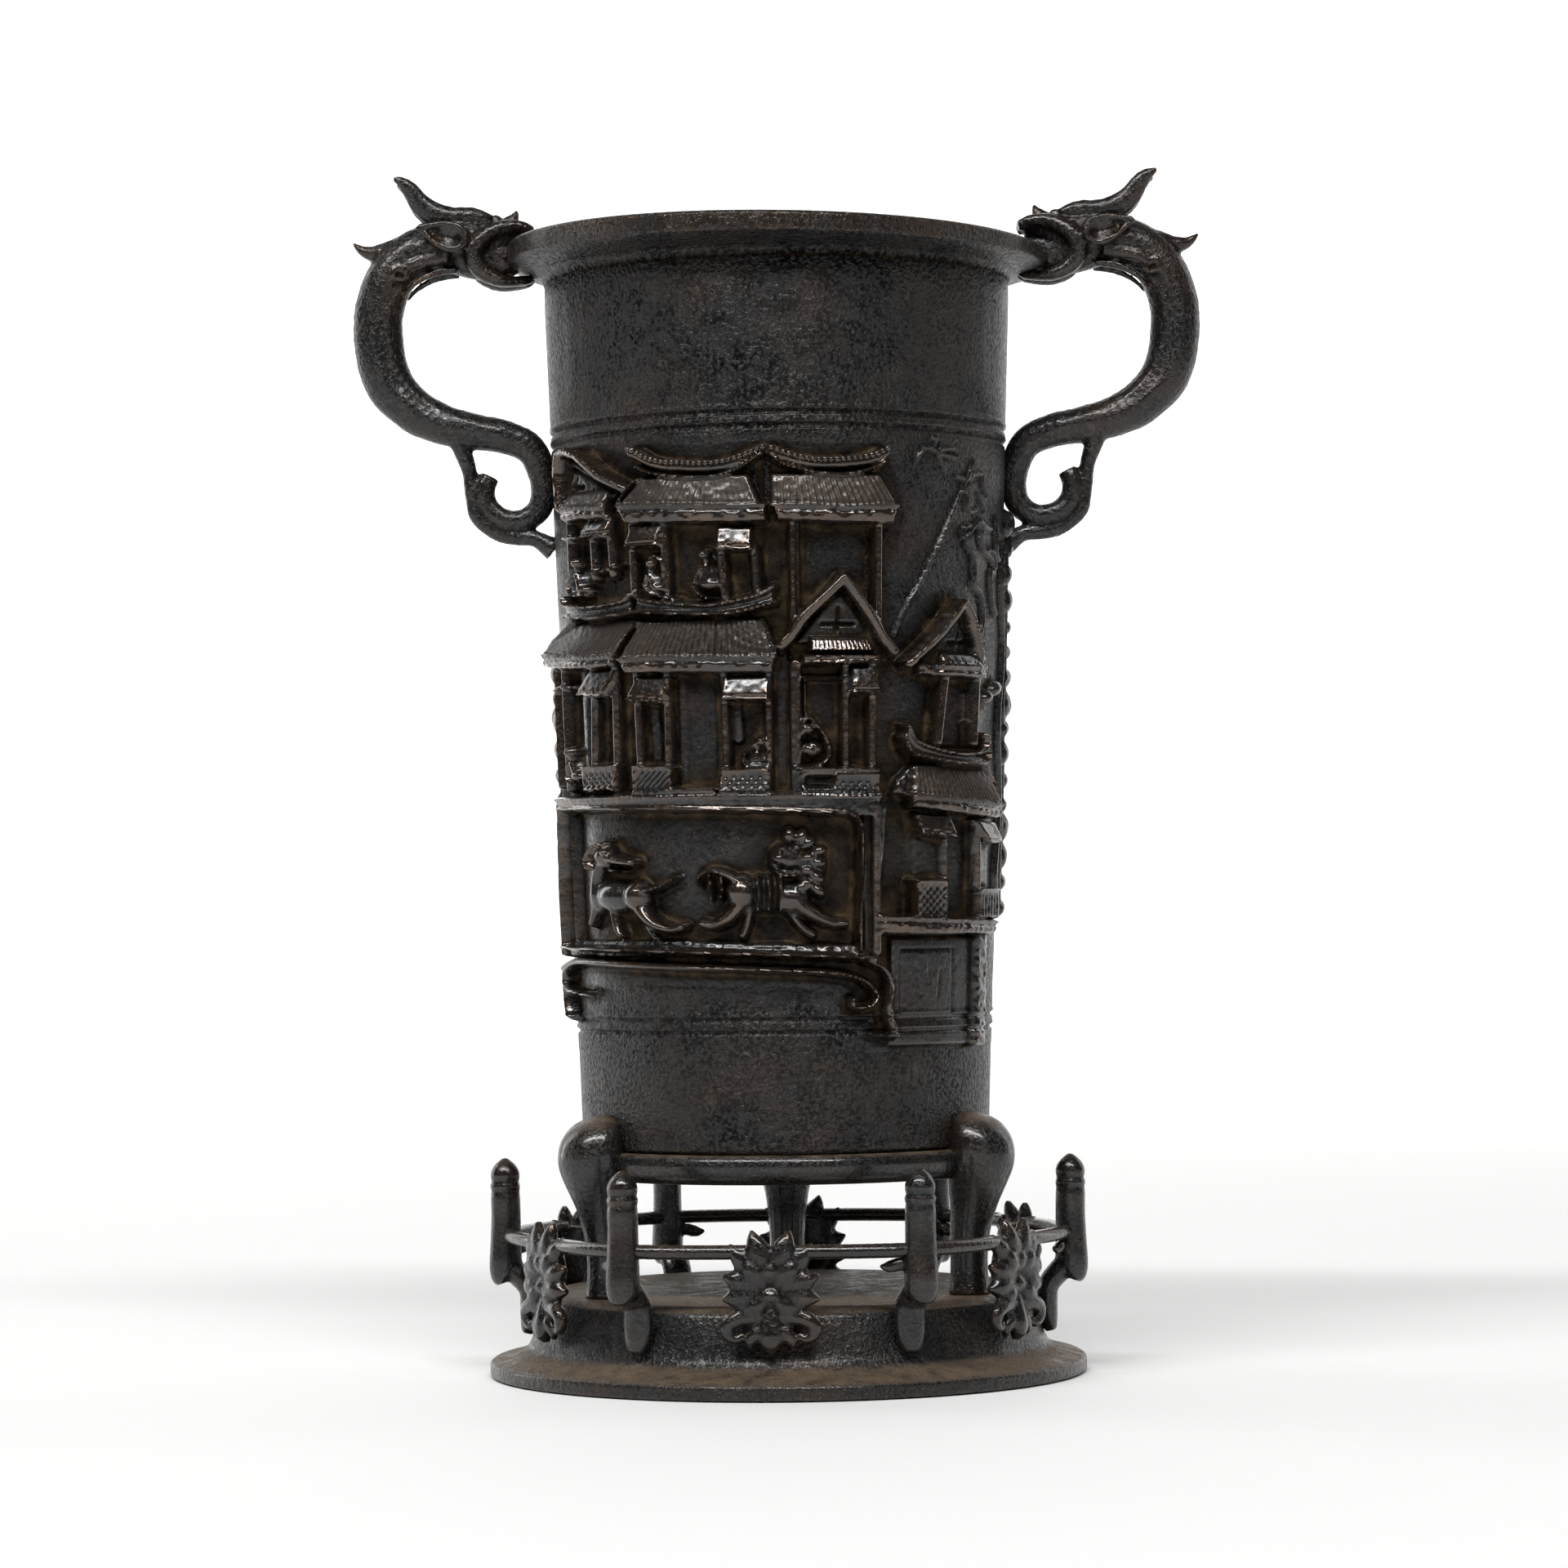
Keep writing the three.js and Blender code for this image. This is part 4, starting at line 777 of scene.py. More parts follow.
def beast_frieze(sheet):
    """A sunk panel with a running hound and a maned beast behind it."""
    west, east = -72.4, 23.4
    sheet.plate([(west, 68.9), (east + 1, 68.6), (east + 1, 69.7), (west, 69.8)], 2.5, edge=0.3,
                grain=0.06)
    sheet.plate([(west, 68), (-6, 67.3), (15, 66.8), (24, 66.8), (24, 69.2), (west, 69.4)], 2.1,
                edge=0.2, grain=0.05)
    lip(sheet, [(west, 69.5), (-26, 69.3), (east + 0.4, 69.1)], 0.45, LEDGE_LIFT + 0.2)
    sheet.cord([(west, 68.4), (-40, 68.1), (-6, 67.6), (12.9, 67.2), (17.3, 66.8), (19.1, 65.7),
                (19.3, 62.2), (18.9, 51.2)], 0.75, 2.45)
    sheet.cord([(23.0, 68.2), (23.2, 51)], 1.2, 2.4, round_off=4)
    sheet.cord([(20.8, 67), (21, 51)], 1.0, 1.5, round_off=4)
    sheet.cord([(west, 69), (west - 1, 60.8), (west - 1.4, 51)], 0.9, 2.4)
    sheet.cord([(west + 4, 67.4), (west + 4, 52)], 0.6, 1.3)
    sheet.plate([(west, 50.8), (east - 2, 50.4), (19, 51.9), (-8, 52.2), (-27, 52.7), (west, 52.7)],
                1.8, 0.9, grain=0.14)
    sheet.cord([(-73.6, 51.8), (-35.4, 51.4), (-11.5, 51.0), (10.1, 50.6), (22.6, 50.2)], 0.9, 2.6)

    # Hound
    sheet.hump((-47.8, 57.7), 3.9, 2.1, 2.3, tilt=-2, blend=0.5)
    sheet.hump((-54.6, 57.8), 1.9, 2.3, 2.0, blend=0.5)
    sheet.cord([(-54.6, 58), (-54.2, 60), (-52.2, 61.8)], 2.3, 2.0, blend=0.5)
    sheet.hump((-50.4, 62.5), 2.2, 1.7, 2.6, tilt=-8, blend=0.4)
    sheet.cord([(-50.4, 62.6), (-45.4, 62.1), (-40.0, 61.7)], 1.7, 2.5, ends=(1.1, 0.85), blend=0.3)
    sheet.cord([(-48, 60.9), (-42.6, 60.7)], 0.8, 2.1, ends=(1, 0.7), blend=0.2)
    sheet.carve([(-46.8, 61.3), (-40.2, 61.3)], 0.3, 0.55)
    sheet.cord([(-50.6, 64.0), (-52.6, 63.6), (-55.4, 62.3), (-55.0, 61.3)], 1.05, 2.9,
               ends=(0.7, 1.1), blend=0.15)
    sheet.cord([(-49.6, 63.8), (-48.4, 64.6)], 0.6, 2.4, ends=(1, 0.4))
    sheet.hump((-48.2, 63.0), 0.42, 0.36, 2.9, base=2.2, blend=0.1)
    sheet.hump((-39.6, 57.7), 2.1, 2.2, 2.6, tilt=10, blend=0.4)
    sheet.cord([(-39.4, 57), (-36.4, 55.4), (-33.1, 54.4), (-28.9, 53.9), (-25.6, 54.1)], 1.7, 2.3,
               ends=(1.4, 0.7), blend=0.35)
    sheet.cord([(-38, 58.4), (-34, 58.6), (-30, 59.2), (-27.2, 59.9)], 1.0, 2.2, ends=(1.1, 0.5),
               blend=0.3)
    sheet.cord([(-55.4, 57), (-56.6, 55.6), (-58, 54.6)], 1.4, 1.7, ends=(1.1, 0.8), blend=0.3)
    sheet.cord([(-48.4, 56.6), (-46.9, 54.2), (-45.4, 53.2)], 1.3, 1.8, ends=(1.1, 0.8), blend=0.3)
    sheet.cord([(-38.4, 56), (-36, 54), (-34, 52.9)], 1.2, 1.5, blend=0.3)

    # Maned beast
    sheet.hump((-4.2, 57.9), 4.6, 2.3, 1.7, blend=0.4)
    for azimuth in (-6.2, -3.6, -0.8):
        sheet.cord([(azimuth, 59.8), (azimuth + 0.4, 58), (azimuth + 0.1, 56)], 1.0, 2.5,
                   ends=(0.9, 0.7), blend=0.2)
    sheet.hump((-10.2, 58.0), 2.0, 2.3, 2.7, tilt=12, blend=0.4)
    sheet.cord([(-10.3, 57), (-13.5, 55.2), (-17.7, 54.3), (-20.4, 54.5)], 1.9, 2.4,
               ends=(1.3, 0.6), blend=0.35)
    sheet.cord([(-8.3, 56.4), (-9.2, 54.4), (-10.2, 53.1)], 1.3, 1.6, blend=0.3)
    sheet.cord([(-11.2, 59.4), (-14.6, 60.3), (-18.3, 60.6), (-20.7, 59.9), (-21.0, 58.9)], 0.95,
               2.4, ends=(1.2, 0.6), blend=0.25)
    sheet.cord([(-18.5, 60.1), (-18.1, 58.7), (-18.2, 57.2)], 0.7, 1.7, ends=(1, 0.5))
    sheet.cord([(-15.4, 60), (-15.2, 58.7), (-15.8, 57.3)], 0.7, 1.7, ends=(1, 0.5))
    sheet.hump((2.4, 57.3), 2.2, 2.2, 2.7, tilt=-20, blend=0.4)
    sheet.cord([(3.2, 56.8), (8.2, 55.2), (12.2, 54.4), (15.2, 54.4)], 1.9, 2.5, ends=(1.3, 0.7),
               blend=0.35)
    sheet.cord([(2, 55.6), (4.6, 54), (7.2, 53.1)], 1.3, 1.6, blend=0.3)
    sheet.hump((1.4, 61.8), 2.5, 2.3, 2.3, blend=0.3)
    sheet.hump((6.4, 61), 2.3, 3.0, 2.1, blend=0.3)
    sheet.hump((-0.9, 61.9), 1.2, 1.2, 2.8, blend=0.25)
    sheet.hump((0.0, 63.1), 0.75, 0.6, 3.0, blend=0.12)
    sheet.hump((3.2, 63.2), 0.8, 0.6, 2.9, blend=0.12)
    sheet.carve([(-2.4, 61.5), (-0.4, 61.0), (1.4, 60.8), (3.4, 60.9)], 0.45, 0.7, smooth=3)
    sheet.cord([(-1.6, 60.4), (1.2, 59.9), (3.6, 60.1)], 0.7, 2.6, blend=0.15)
    for place, tilt in (((6.1, 63.7), 40), ((8.7, 62.8), 20), ((6.0, 62.0), 10), ((8.6, 61.4), 0),
                        ((6.0, 60.5), -10), ((8.2, 59.7), -30), ((6.0, 59.0), -20),
                        ((8.4, 58.2), -40), ((4.4, 64.4), 60), ((1.6, 64.6), 90), ((4.6, 58.6), 0)):
        sheet.hump(place, 1.15, 0.78, 2.6, tilt=tilt, base=1.0, blend=0.15)


def low_table(sheet):
    """The table under the panel, with rails that end in scrolls."""
    sheet.cord([(-76.6, 49.3), (-66.3, 50.1), (-48.5, 49.9), (-25.8, 49.4), (-11.8, 49.2),
                (10.2, 48.7), (18.3, 48.0), (22.2, 46.9), (23.4, 45.7), (21.4, 44.7), (17.6, 44.6),
                (17.2, 45.5)], 1.25, 2.3, round_off=2.6, ends=(0.9, 0.6))
    sheet.cord([(20.8, 50.0), (25.2, 49.0), (27.3, 47.2), (26.7, 44.8), (27.6, 42.9), (28.9, 41.2)],
               1.35, 2.4, ends=(0.7, 0.9))
    sheet.cord([(29.4, 41), (25, 41.3), (21.2, 41.6)], 0.8, 1.5, ends=(1, 0.5))
    sheet.cord([(-76.6, 49.3), (-78.4, 48.4), (-78.2, 47.3), (-74, 46.6), (-69.9, 46.5),
                (-62, 46.2), (-59.6, 46.6)], 0.95, 2.0, ends=(1.1, 0.6))
    sheet.cord([(-79, 47.6), (-79.2, 45.7), (-77.6, 44), (-76, 43.3)], 1.2, 1.9, ends=(1, 0.7))


def right_tower(sheet):
    """The narrow tower at the right: a gabled room over a balcony, a roof and an open room."""
    sheet.plate([(34, 84.4), (54.4, 84.8), (48.6, 91.4)], 1.2, 1.3, edge=0.2)
    boards(sheet, [(31.2, 84.5), (36.7, 86.6), (40.5, 88.2), (47.9, 91.9), (51.2, 90.0),
                   (53.1, 87.5), (54.9, 85.5)], 1.15)
    cross_lines(sheet, ([(34, 84.9), (41.2, 87.5), (48.1, 90.6), (52.8, 86.6)],
                        [(49.3, 89.5), (47.2, 86.3)], [(44.6, 87.2), (51.6, 87.3)]), 0.45)
    skirt(sheet, [(41, 85.9), (54.8, 86), (55.8, 84.6), (40.2, 84.6)], 17)
    eave(sheet, [(40.2, 84.4), (55.9, 84.4)], [(40, 83.3), (56.4, 83.2)], 51)
    sheet.plate([(34.9, 83.3), (41, 83.1), (41, 84.6), (34.6, 84.6)], 1.9, edge=0.4, grain=0.16)
    sheet.plate([(41, 75), (56, 75), (55.6, 83.4), (42, 83.4)], 0.35)
    post(sheet, (41, 75.4), (43, 83), 1.3)
    post(sheet, (54.4, 75.4), (54.9, 83), 1.3)
    sheet.plate(oblong(51.6, 53.6, 78, 81.6), 0.9, edge=0.2)
    boat(sheet, [(31.0, 77.4), (33.5, 75.5), (40.3, 74.5), (48, 74.1), (56, 74.4), (58.2, 75.3),
                 (57.8, 76.4)],
         [(30, 75.9), (31.6, 74.3), (35.8, 73.7), (45.4, 73.1), (56.1, 73.1), (59, 74.3)])
    roof_slope(sheet, [(33.6, 72.9), (58.8, 73.0), (66.6, 67.9), (32.2, 68.5)], 24, 0.5)
    sheet.cord([(57.5, 73.0), (62.3, 71.2), (66.8, 68.6)], 0.6, 2.5)
    sheet.plate([(27.8, 69.2), (32.8, 69.4), (33.8, 72.9), (29.5, 71)], 1.2, edge=0.4, grain=0.16)
    eave(sheet, [(31.7, 69.2), (45.1, 68.8), (66.2, 68.2)],
         [(32.4, 67.9), (52.6, 67), (65.6, 66.8)], 52)
    sheet.plate([(33.4, 54.6), (66, 54.6), (65.8, 67), (33.4, 67.6)], 0.35)
    blind(sheet, [(34, 67.1), (45, 66.9), (46, 64.3), (35, 64.8)], 53)
    blind(sheet, [(54.5, 66.5), (64.6, 66.2), (65.9, 63.8), (58.2, 63.9)], 54)
    sheet.plate(oblong(34.7, 44.2, 59.5, 64.4), 0.9, edge=0.25)
    sheet.cord([(43.9, 64), (44.6, 54.9)], 0.9, 1.9)
    post(sheet, (57, 58.8), (56.5, 65.7), 1.1)
    sheet.plate(oblong(60.4, 66, 58.6, 63.9), 0.9, edge=0.3)
    lattice(sheet, [(33.6, 59.3), (43.3, 59.3), (43.3, 54.8), (33.6, 54.8)], 55)
    sheet.plate([(56, 54.8), (67, 54.6), (66.6, 58.2), (56, 58.2)], 2.4, grain=0.06)
    for azimuth in np.arange(57.4, 66, 1.5):
        sheet.carve([(azimuth, 55.2), (azimuth, 57.6)], 0.32, 0.3)
    sheet.cord([(56, 58.2), (66.6, 58.2)], 0.5, LEDGE_LIFT + 0.2)
    eave(sheet, [(23.6, 55.1), (43.4, 54.7), (65, 54.3)],
         [(23.6, 53.2), (41.9, 53), (63.4, 53.1)], 56)
    sheet.cord([(25.2, 67.9), (23.6, 56)], 1.2, 1.6, round_off=4)


def door_panel(sheet):
    """A bare door leaf under the tower, with a few shallow strokes that stand for nothing."""
    sheet.plate(oblong(28.2, 57.4, 39.9, 52.7), 0.95, edge=0.25)
    sheet.plate(oblong(57, 63, 39.6, 53.3), 1.8, edge=0.6, grain=0.1)
    sheet.carve([(31, 43.6), (31, 51.2), (49, 51.2), (49, 43.6), (31, 43.6)], 0.35, 0.3)
    for foot, head in (((36, 49.4), (37.4, 45.8)), ((40, 49.6), (40.6, 47.2)),
                       ((44.2, 48.8), (43.4, 45.6))):
        sheet.carve([foot, head], 0.35, 0.22)


def sky_and_trees(sheet):
    """The low relief round the pavilions."""
    # Flag pole with its streamers, and a bird
    thin = (
        [(29.4, 87.8), (33.6, 91.8), (36.6, 93.7), (42.2, 98.1), (47.2, 101.9), (52.6, 106.1)],
        [(52.6, 106.1), (54.6, 107.3), (55.6, 108.2), (56.9, 109.1)],
        [(49.2, 107), (53.6, 106.7), (55.7, 106.9), (53.7, 105.7)],
        [(55.7, 107.2), (59.1, 107.5), (62, 107.7)],
        [(54, 104.7), (54.3, 103.4), (56.6, 103), (59.5, 103.5)],
        [(61.7, 107.6), (61.8, 106.4), (64.8, 105.1)],
        [(59.3, 105.2), (61.4, 104.1), (63.5, 103.3)],
        [(36, 108.7), (37.6, 109.7), (39.1, 110.1), (41.4, 109.8), (42.6, 109.6)],
        [(42.6, 109.6), (44.3, 108.2), (45.3, 108.2), (44.5, 107.6)],
        [(43.4, 110), (47.6, 110.2), (49.7, 109.7), (49.1, 109.2), (43.4, 109.4)],
        [(40.6, 111.2), (42.1, 111.4), (41.4, 110.4)],
    )
    for path in thin:
        sheet.cord(path, 0.5, 0.5, ends=(1.2, 0.7))
    # Rugged tree at the right
    branches = (
        [(52.5, 99.8), (52.9, 101), (55, 101.3)],
        [(59.9, 102.1), (56.2, 100.9), (54, 99.9), (54.7, 98.8), (57, 97.7), (57.4, 95.4),
         (57, 94.4), (61, 93.4), (62.7, 91.5), (62.6, 89.8), (61.5, 88.8)],
        [(59.9, 102.1), (60.4, 100.4), (61.9, 98.7), (67.3, 97.7), (69, 95.8), (66.7, 96.2),
         (68, 93), (71.4, 91.1)],
        [(66.9, 101.2), (63, 101.5), (60.2, 102.1)],
        [(64.8, 98.7), (69, 98.5), (70.3, 96.6)],
        [(70.3, 103), (71, 98.7), (73.5, 97.7)],
    )
    for path in branches:
        sheet.cord(path, 0.75, 0.65, ends=(0.7, 1))
    # Rocks and roots round both sides
    source = np.random.default_rng(23)
    for side in (-1, 1):
        low, high = (56, 104) if side > 0 else (54, 90)
        for height in np.arange(low, high, 3.1):
            size = source.uniform(0.6, 1.0)
            sheet.hump((side * (86 + source.uniform(-4, 4)), height), 2.1 * size, 1.5 * size,
                       0.9 + 0.5 * size, tilt=side * source.uniform(10, 60), blend=0.5)
        for start in (78, 83.5, 89):
            path = [(side * (start + 2.2 * math.sin(h * 0.35 + start)), h)
                    for h in np.arange(low, high, 4)]
            sheet.cord(path, 1.0, 0.8, ends=(1.2, 0.6), blend=0.4)
    for azimuth, height, size in ((63.6, 81.1, 0.7), (69.5, 82.2, 0.8), (88, 80.4, 1.1),
                                  (88, 66, 1.2), (-88, 79.6, 1.2), (-88, 65.2, 1.3)):
        sheet.hump((azimuth, height), 1.9 * size, 1.25 * size, 1.5, tilt=24, blend=0.4)


MIDDLE_RIDGE = [(-36.2, 110), (-35.2, 109.9), (-31.4, 108.9), (-27.3, 108.3), (-23, 108.1),
                (-17.7, 107.9), (-13.1, 108), (-9.8, 108.4), (-7, 108.9), (-3.5, 109.6)]
RIGHT_RIDGE = [(-1.5, 109.5), (1.2, 109), (5.2, 108.4), (9.4, 108.1), (15.4, 108.2), (20, 108.5),
               (22.9, 108.9), (25.3, 109.5)]
BACK_RIDGE = [(160, 103), (166, 101.6), (173, 100.8), (180, 100.6), (187, 100.8), (194, 101.6),
              (200, 103)]


def back_view(sheet):
    """The side that is turned away: one plain pavilion, its ground and two trees."""
    roof_slope(sheet, [(164, 99.8), (196, 99.8), (203.4, 95.8), (156.6, 95.8)], 24, 0.3)
    ridge(sheet, BACK_RIDGE, [(a, z - 1.4) for a, z in BACK_RIDGE[1:-1]])
    eave(sheet, [(156.4, 95.7), (203.6, 95.7)], [(157.6, 94), (202.4, 94)], 61)
    for azimuth in (163, 172, 188, 197):
        post(sheet, (azimuth, 79.6), (azimuth, 94.2), 1.6)
    for west in (164, 189):
        blind(sheet, [(west, 93.8), (west + 7, 93.8), (west + 7, 91.1), (west, 91.1)], west)
    boat(sheet, sagging(156, 204, 81.9, 1.8), sagging(157, 203, 80.6, 1.8))
    roof_slope(sheet, [(158, 78.6), (202, 78.6), (209, 73.8), (151, 73.8)], 34, 0.3)
    eave(sheet, [(151, 73.6), (209, 73.6)], [(152.4, 71.9), (207.6, 71.9)], 64)
    for azimuth in (157, 170, 190, 203):
        post(sheet, (azimuth, 54.6), (azimuth, 72.2), 1.6)
    for west in (158, 191):
        lattice(sheet, [(west, 58.2), (west + 11, 58.2), (west + 11, 54.8), (west, 54.8)], 65)
    sheet.plate(oblong(112, 248, 52.6, 54.5), 1.5, edge=0.4, grain=0.08)
    sheet.cord([(112, 54.4), (248, 54.4)], 0.6, 1.9)
    source = np.random.default_rng(31)
    for azimuth, facing in ((130, 1), (230, -1)):
        trunk = [(azimuth, 54.4), (azimuth + facing * 1.5, 66), (azimuth - facing, 78),
                 (azimuth + facing * 2, 91)]
        sheet.cord(trunk, 1.6, 1.7, ends=(1.3, 0.6))
        for turn, height, size in ((4, 76, 1.7), (1, 91, 2.1), (-6, 84, 1.5), (6, 68, 1.3)):
            for _ in range(5):
                sheet.hump((azimuth + facing * turn + source.uniform(-5, 5),
                            height + source.uniform(-0.9, 0.9)), 1.3 * size, 0.75 * size, 1.7,
                           tilt=source.uniform(-12, 12))


def groove_at(z, depth):
    """Depth of the pairs of turned lines at a height."""
    total = np.zeros_like(z, dtype=float)
    for height, width in GROOVES:
        total += depth * np.maximum(1 - ((z - height) / width) ** 2, 0)
        total -= depth * 0.35 * np.maximum(1 - ((z - height - width * 1.5) / width) ** 2, 0)
    return total


# How far a sheet's bare parts stand proud of the turned wall, and how deep its back lies in it
SHEET_PROUD = 0.05
SHEET_SUNK = 0.8


def relief_piece(sheet, name, rows, groove_depth):
    """A closed piece from rows of a sheet, with its back sunk in the wall."""
    lift = sheet.lift[rows]
    heights = sheet.heights[rows]
    wall = wall_radius(heights) - groove_at(heights, groove_depth)
    radius = wall[:, None] + lift + SHEET_PROUD
    turns = np.radians(sheet.azimuths)[None, :]
    up = np.broadcast_to(heights[:, None], lift.shape)
    points = np.stack([radius * np.sin(turns), -radius * np.cos(turns), up], -1).reshape(-1, 3)
    count, width = lift.shape
    index = np.arange(count * width).reshape(count, width)
    quads = [np.stack([
        index[:-1, :-1], index[:-1, 1:], index[1:, 1:], index[1:, :-1],
    ], -1).reshape(-1, 4)]
    low = len(points) + np.arange(width)
    high = low + width
    for height in (heights[0], heights[-1]):
        r = wall_radius(height) - SHEET_SUNK
        ring = np.stack([r * np.sin(turns[0]), -r * np.cos(turns[0]), np.full(width, height)], -1)
        points = np.vstack([points, ring])
    quads.append(np.stack([low[:-1], low[1:], index[0, 1:], index[0, :-1]], -1))
    quads.append(np.stack([index[-1, :-1], index[-1, 1:], high[1:], high[:-1]], -1))
    quads.append(np.stack([low[1:], low[:-1], high[:-1], high[1:]], -1))
    sides = [[low[0], *index[:, 0], high[0]], [high[-1], *index[::-1, -1], low[-1]]]
    # Recesses and ridges are what lies below or above the relief as softened twice. The patina
    # paints shade into the recesses.
    soft = blurred(sheet.lift, 0.7 / sheet.step)[rows]
    wide = blurred(sheet.lift, 2.2 / sheet.step)[rows]
    hollow = np.maximum((soft - lift) / 0.45, (wide - lift) / 1.5)
    crest = (lift - soft) / 0.32 * np.clip((lift - 0.5) / 1.4, 0, 1)
    # Broad raised forms count as ridges too, so that the patina paints a reddish-brown sheen on
    # them, a painted highlight
    crest = np.maximum(crest, 0.55 * np.clip((lift - wide - 0.3) / 0.7, 0, 1))
    ash = sheet.ash[rows]
    shares = {
        "recess": hollow, "ridge": crest * (1 - 0.8 * ash), "ash": ash,
        "bare": 1 - np.maximum(wide, lift) / 0.3,
    }
    hidden = np.zeros(2 * width)  # the points of the sunk back
    attributes = {key: np.concatenate([np.clip(share, 0, 1).ravel(), hidden])
                  for key, share in shares.items()}
    return shade(new_object(name, points, np.vstack(quads), [], sides, attributes), 60)


def finished_sheet(sheet, seed):
    """Softens the modelled edges as casting does, and lets the borders sink into the wall."""
    sheet.lift = blurred(sheet.lift, 0.1 / sheet.step)
    sheet.lift += 0.014 * random_field(sheet.lift.shape, 0.55 / sheet.step, seed)
    sheet.lift += 0.05 * random_field(sheet.lift.shape, 4 / sheet.step, seed + 1)
    for axis in (0, 1):
        size = sheet.lift.shape[axis]
        edge = np.minimum(np.arange(size), np.arange(size)[::-1]) * sheet.step
        sink = 0.2 * np.clip(1 - edge / 0.6, 0, 1)
        sheet.lift -= sink[:, None] if axis == 0 else sink[None, :]


# Geometry Nodes


def node(tree, kind, settings=None, links=None):
    """Adds a node. Settings that name a socket set its value, and links name its inputs."""
    added = tree.nodes.new(kind)
    for key, value in (settings or {}).items():
        if isinstance(key, int) or key in added.inputs:
            added.inputs[key].default_value = value
        else:
            setattr(added, key, value)
    for key, source in (links or {}).items():
        tree.links.new(source, added.inputs[key])
    return added


def start_tree(name, **kinds):
    """A tree that takes a geometry, more inputs by name and kind, and a material."""
    tree = bpy.data.node_groups.new(name, "GeometryNodeTree")
    for socket, kind in {"Geometry": "Geometry", **kinds, "Material": "Material"}.items():
        tree.interface.new_socket(socket, in_out="INPUT", socket_type="NodeSocket" + kind)
    tree.interface.new_socket("Geometry", in_out="OUTPUT", socket_type="NodeSocketGeometry")
    return tree, node(tree, "NodeGroupInput")


def end_tree(tree, given, links):
    """Ends a tree with real copies on points, in the given material."""
    copies = node(tree, "GeometryNodeInstanceOnPoints", links=links)
    real = node(tree, "GeometryNodeRealizeInstances", links={0: copies.outputs[0]})
    coated = node(tree, "GeometryNodeSetMaterial",
                  links={"Geometry": real.outputs[0], "Material": given.outputs["Material"]})
    out = node(tree, "NodeGroupOutput")
    tree.links.new(coated.outputs[0], out.inputs[0])
    return tree


def ring_tree():
    """Copies of a piece turned round the vertical axis."""
    tree, given = start_tree("ring_of_copies", Copies="Int", Turn="Float")
    points = node(tree, "GeometryNodePoints", links={"Count": given.outputs["Copies"]})
    index = node(tree, "GeometryNodeInputIndex")
    step = node(tree, "ShaderNodeMath", {"operation": "DIVIDE", 0: 2 * math.pi},
                {1: given.outputs["Copies"]})
    angle = node(tree, "ShaderNodeMath", {"operation": "MULTIPLY_ADD"},
                 {0: index.outputs[0], 1: step.outputs[0], 2: given.outputs["Turn"]})
    rotation = node(tree, "ShaderNodeCombineXYZ", links={"Z": angle.outputs[0]})
    return end_tree(tree, given, {
        "Points": points.outputs[0], "Instance": given.outputs["Geometry"],
        "Rotation": rotation.outputs[0],
    })


def bead_tree():
    """Beads set along paths, each lying along the path."""
    tree, given = start_tree("beads_on_paths", Spacing="Float", Size="Vector", Seed="Int")
    curve = node(tree, "GeometryNodeMeshToCurve", links={"Mesh": given.outputs["Geometry"]})
    points = node(tree, "GeometryNodeCurveToPoints", {"mode": "LENGTH"},
                  {"Curve": curve.outputs[0], "Length": given.outputs["Spacing"]})
    ball = node(tree, "GeometryNodeMeshIcoSphere", {"Radius": 1.0, "Subdivisions": 2})
    uneven = node(tree, "FunctionNodeRandomValue", {"data_type": "FLOAT", 2: 0.78, 3: 1.12},
                  {"Seed": given.outputs["Seed"]})
    size = node(tree, "ShaderNodeVectorMath", {"operation": "SCALE"},
                {0: given.outputs["Size"], "Scale": uneven.outputs[1]})
    return end_tree(tree, given, {
        "Points": points.outputs["Points"], "Instance": ball.outputs["Mesh"],
        "Rotation": points.outputs["Rotation"], "Scale": size.outputs[0],
    })


def run_nodes(piece, tree, values):
    """Puts the piece through a node tree with named inputs and keeps the plain result."""
    modifier = piece.modifiers.new(tree.name, "NODES")
    modifier.node_group = tree
    sockets = {s.name: s.identifier for s in tree.interface.items_tree if s.in_out == "INPUT"}
    for name, value in values.items():
        modifier[sockets[name]] = value
    piece.update_tag()
    bpy.context.view_layer.update()
    baked(piece)


# Finishes


WALL_WEAR = {"roughness": 0.4, "wax": 0.15, "grain": 1.4}

# How each casting was worn: ash keeps in the relief and on the plinth, and hands polish the
# handles. The shares are those of dust in recesses, edges worn bare (on the relief also a painted
# sheen on broad raised forms), roughness, wax, pits and grain, and dust that settled on top.
WEAR = {
    "bronze_wall_patina": {"recess_dust": 0.35, "rubbing_and_sheen": 0.4, **WALL_WEAR},
    "bronze_relief_patina": {"recess_dust": 0.5, "rubbing_and_sheen": 0.45, "roughness": 0.3,
                             "wax": 1.0, "grain": 0.15},
    "bronze_handle_patina": {"recess_dust": 0.4, "rubbing_and_sheen": 0.35, "roughness": 0.32,
                             "wax": 0.3, "grain": 0.35},
    "bronze_stand_patina": {"recess_dust": 0.5, "rubbing_and_sheen": 0.5, "roughness": 0.3,
                            "wax": 0.55, "grain": 0.3, "dust_top": 0.75},
    "bronze_plinth_patina": {"recess_dust": 0.6, "rubbing_and_sheen": 0.5, "roughness": 0.36,
                             "wax": 0.2, "grain": 0.6, "dust_top": 1.0},
    "bronze_balustrade_patina": {"recess_dust": 0.5, "rubbing_and_sheen": 0.5, "roughness": 0.28,
                                 "wax": 0.6, "grain": 0.2, "dust_top": 0.4},
}

# The second of these colours is painted shade: a near black put into the hollows where shade falls
PIT, RECESS_SHADE, TAN_SMUDGE, ROOF_ASH = "080707", "090706", "4a3d33", "5a5048"  # sRGB hex
BUMP_HEIGHT = 0.26 * MM


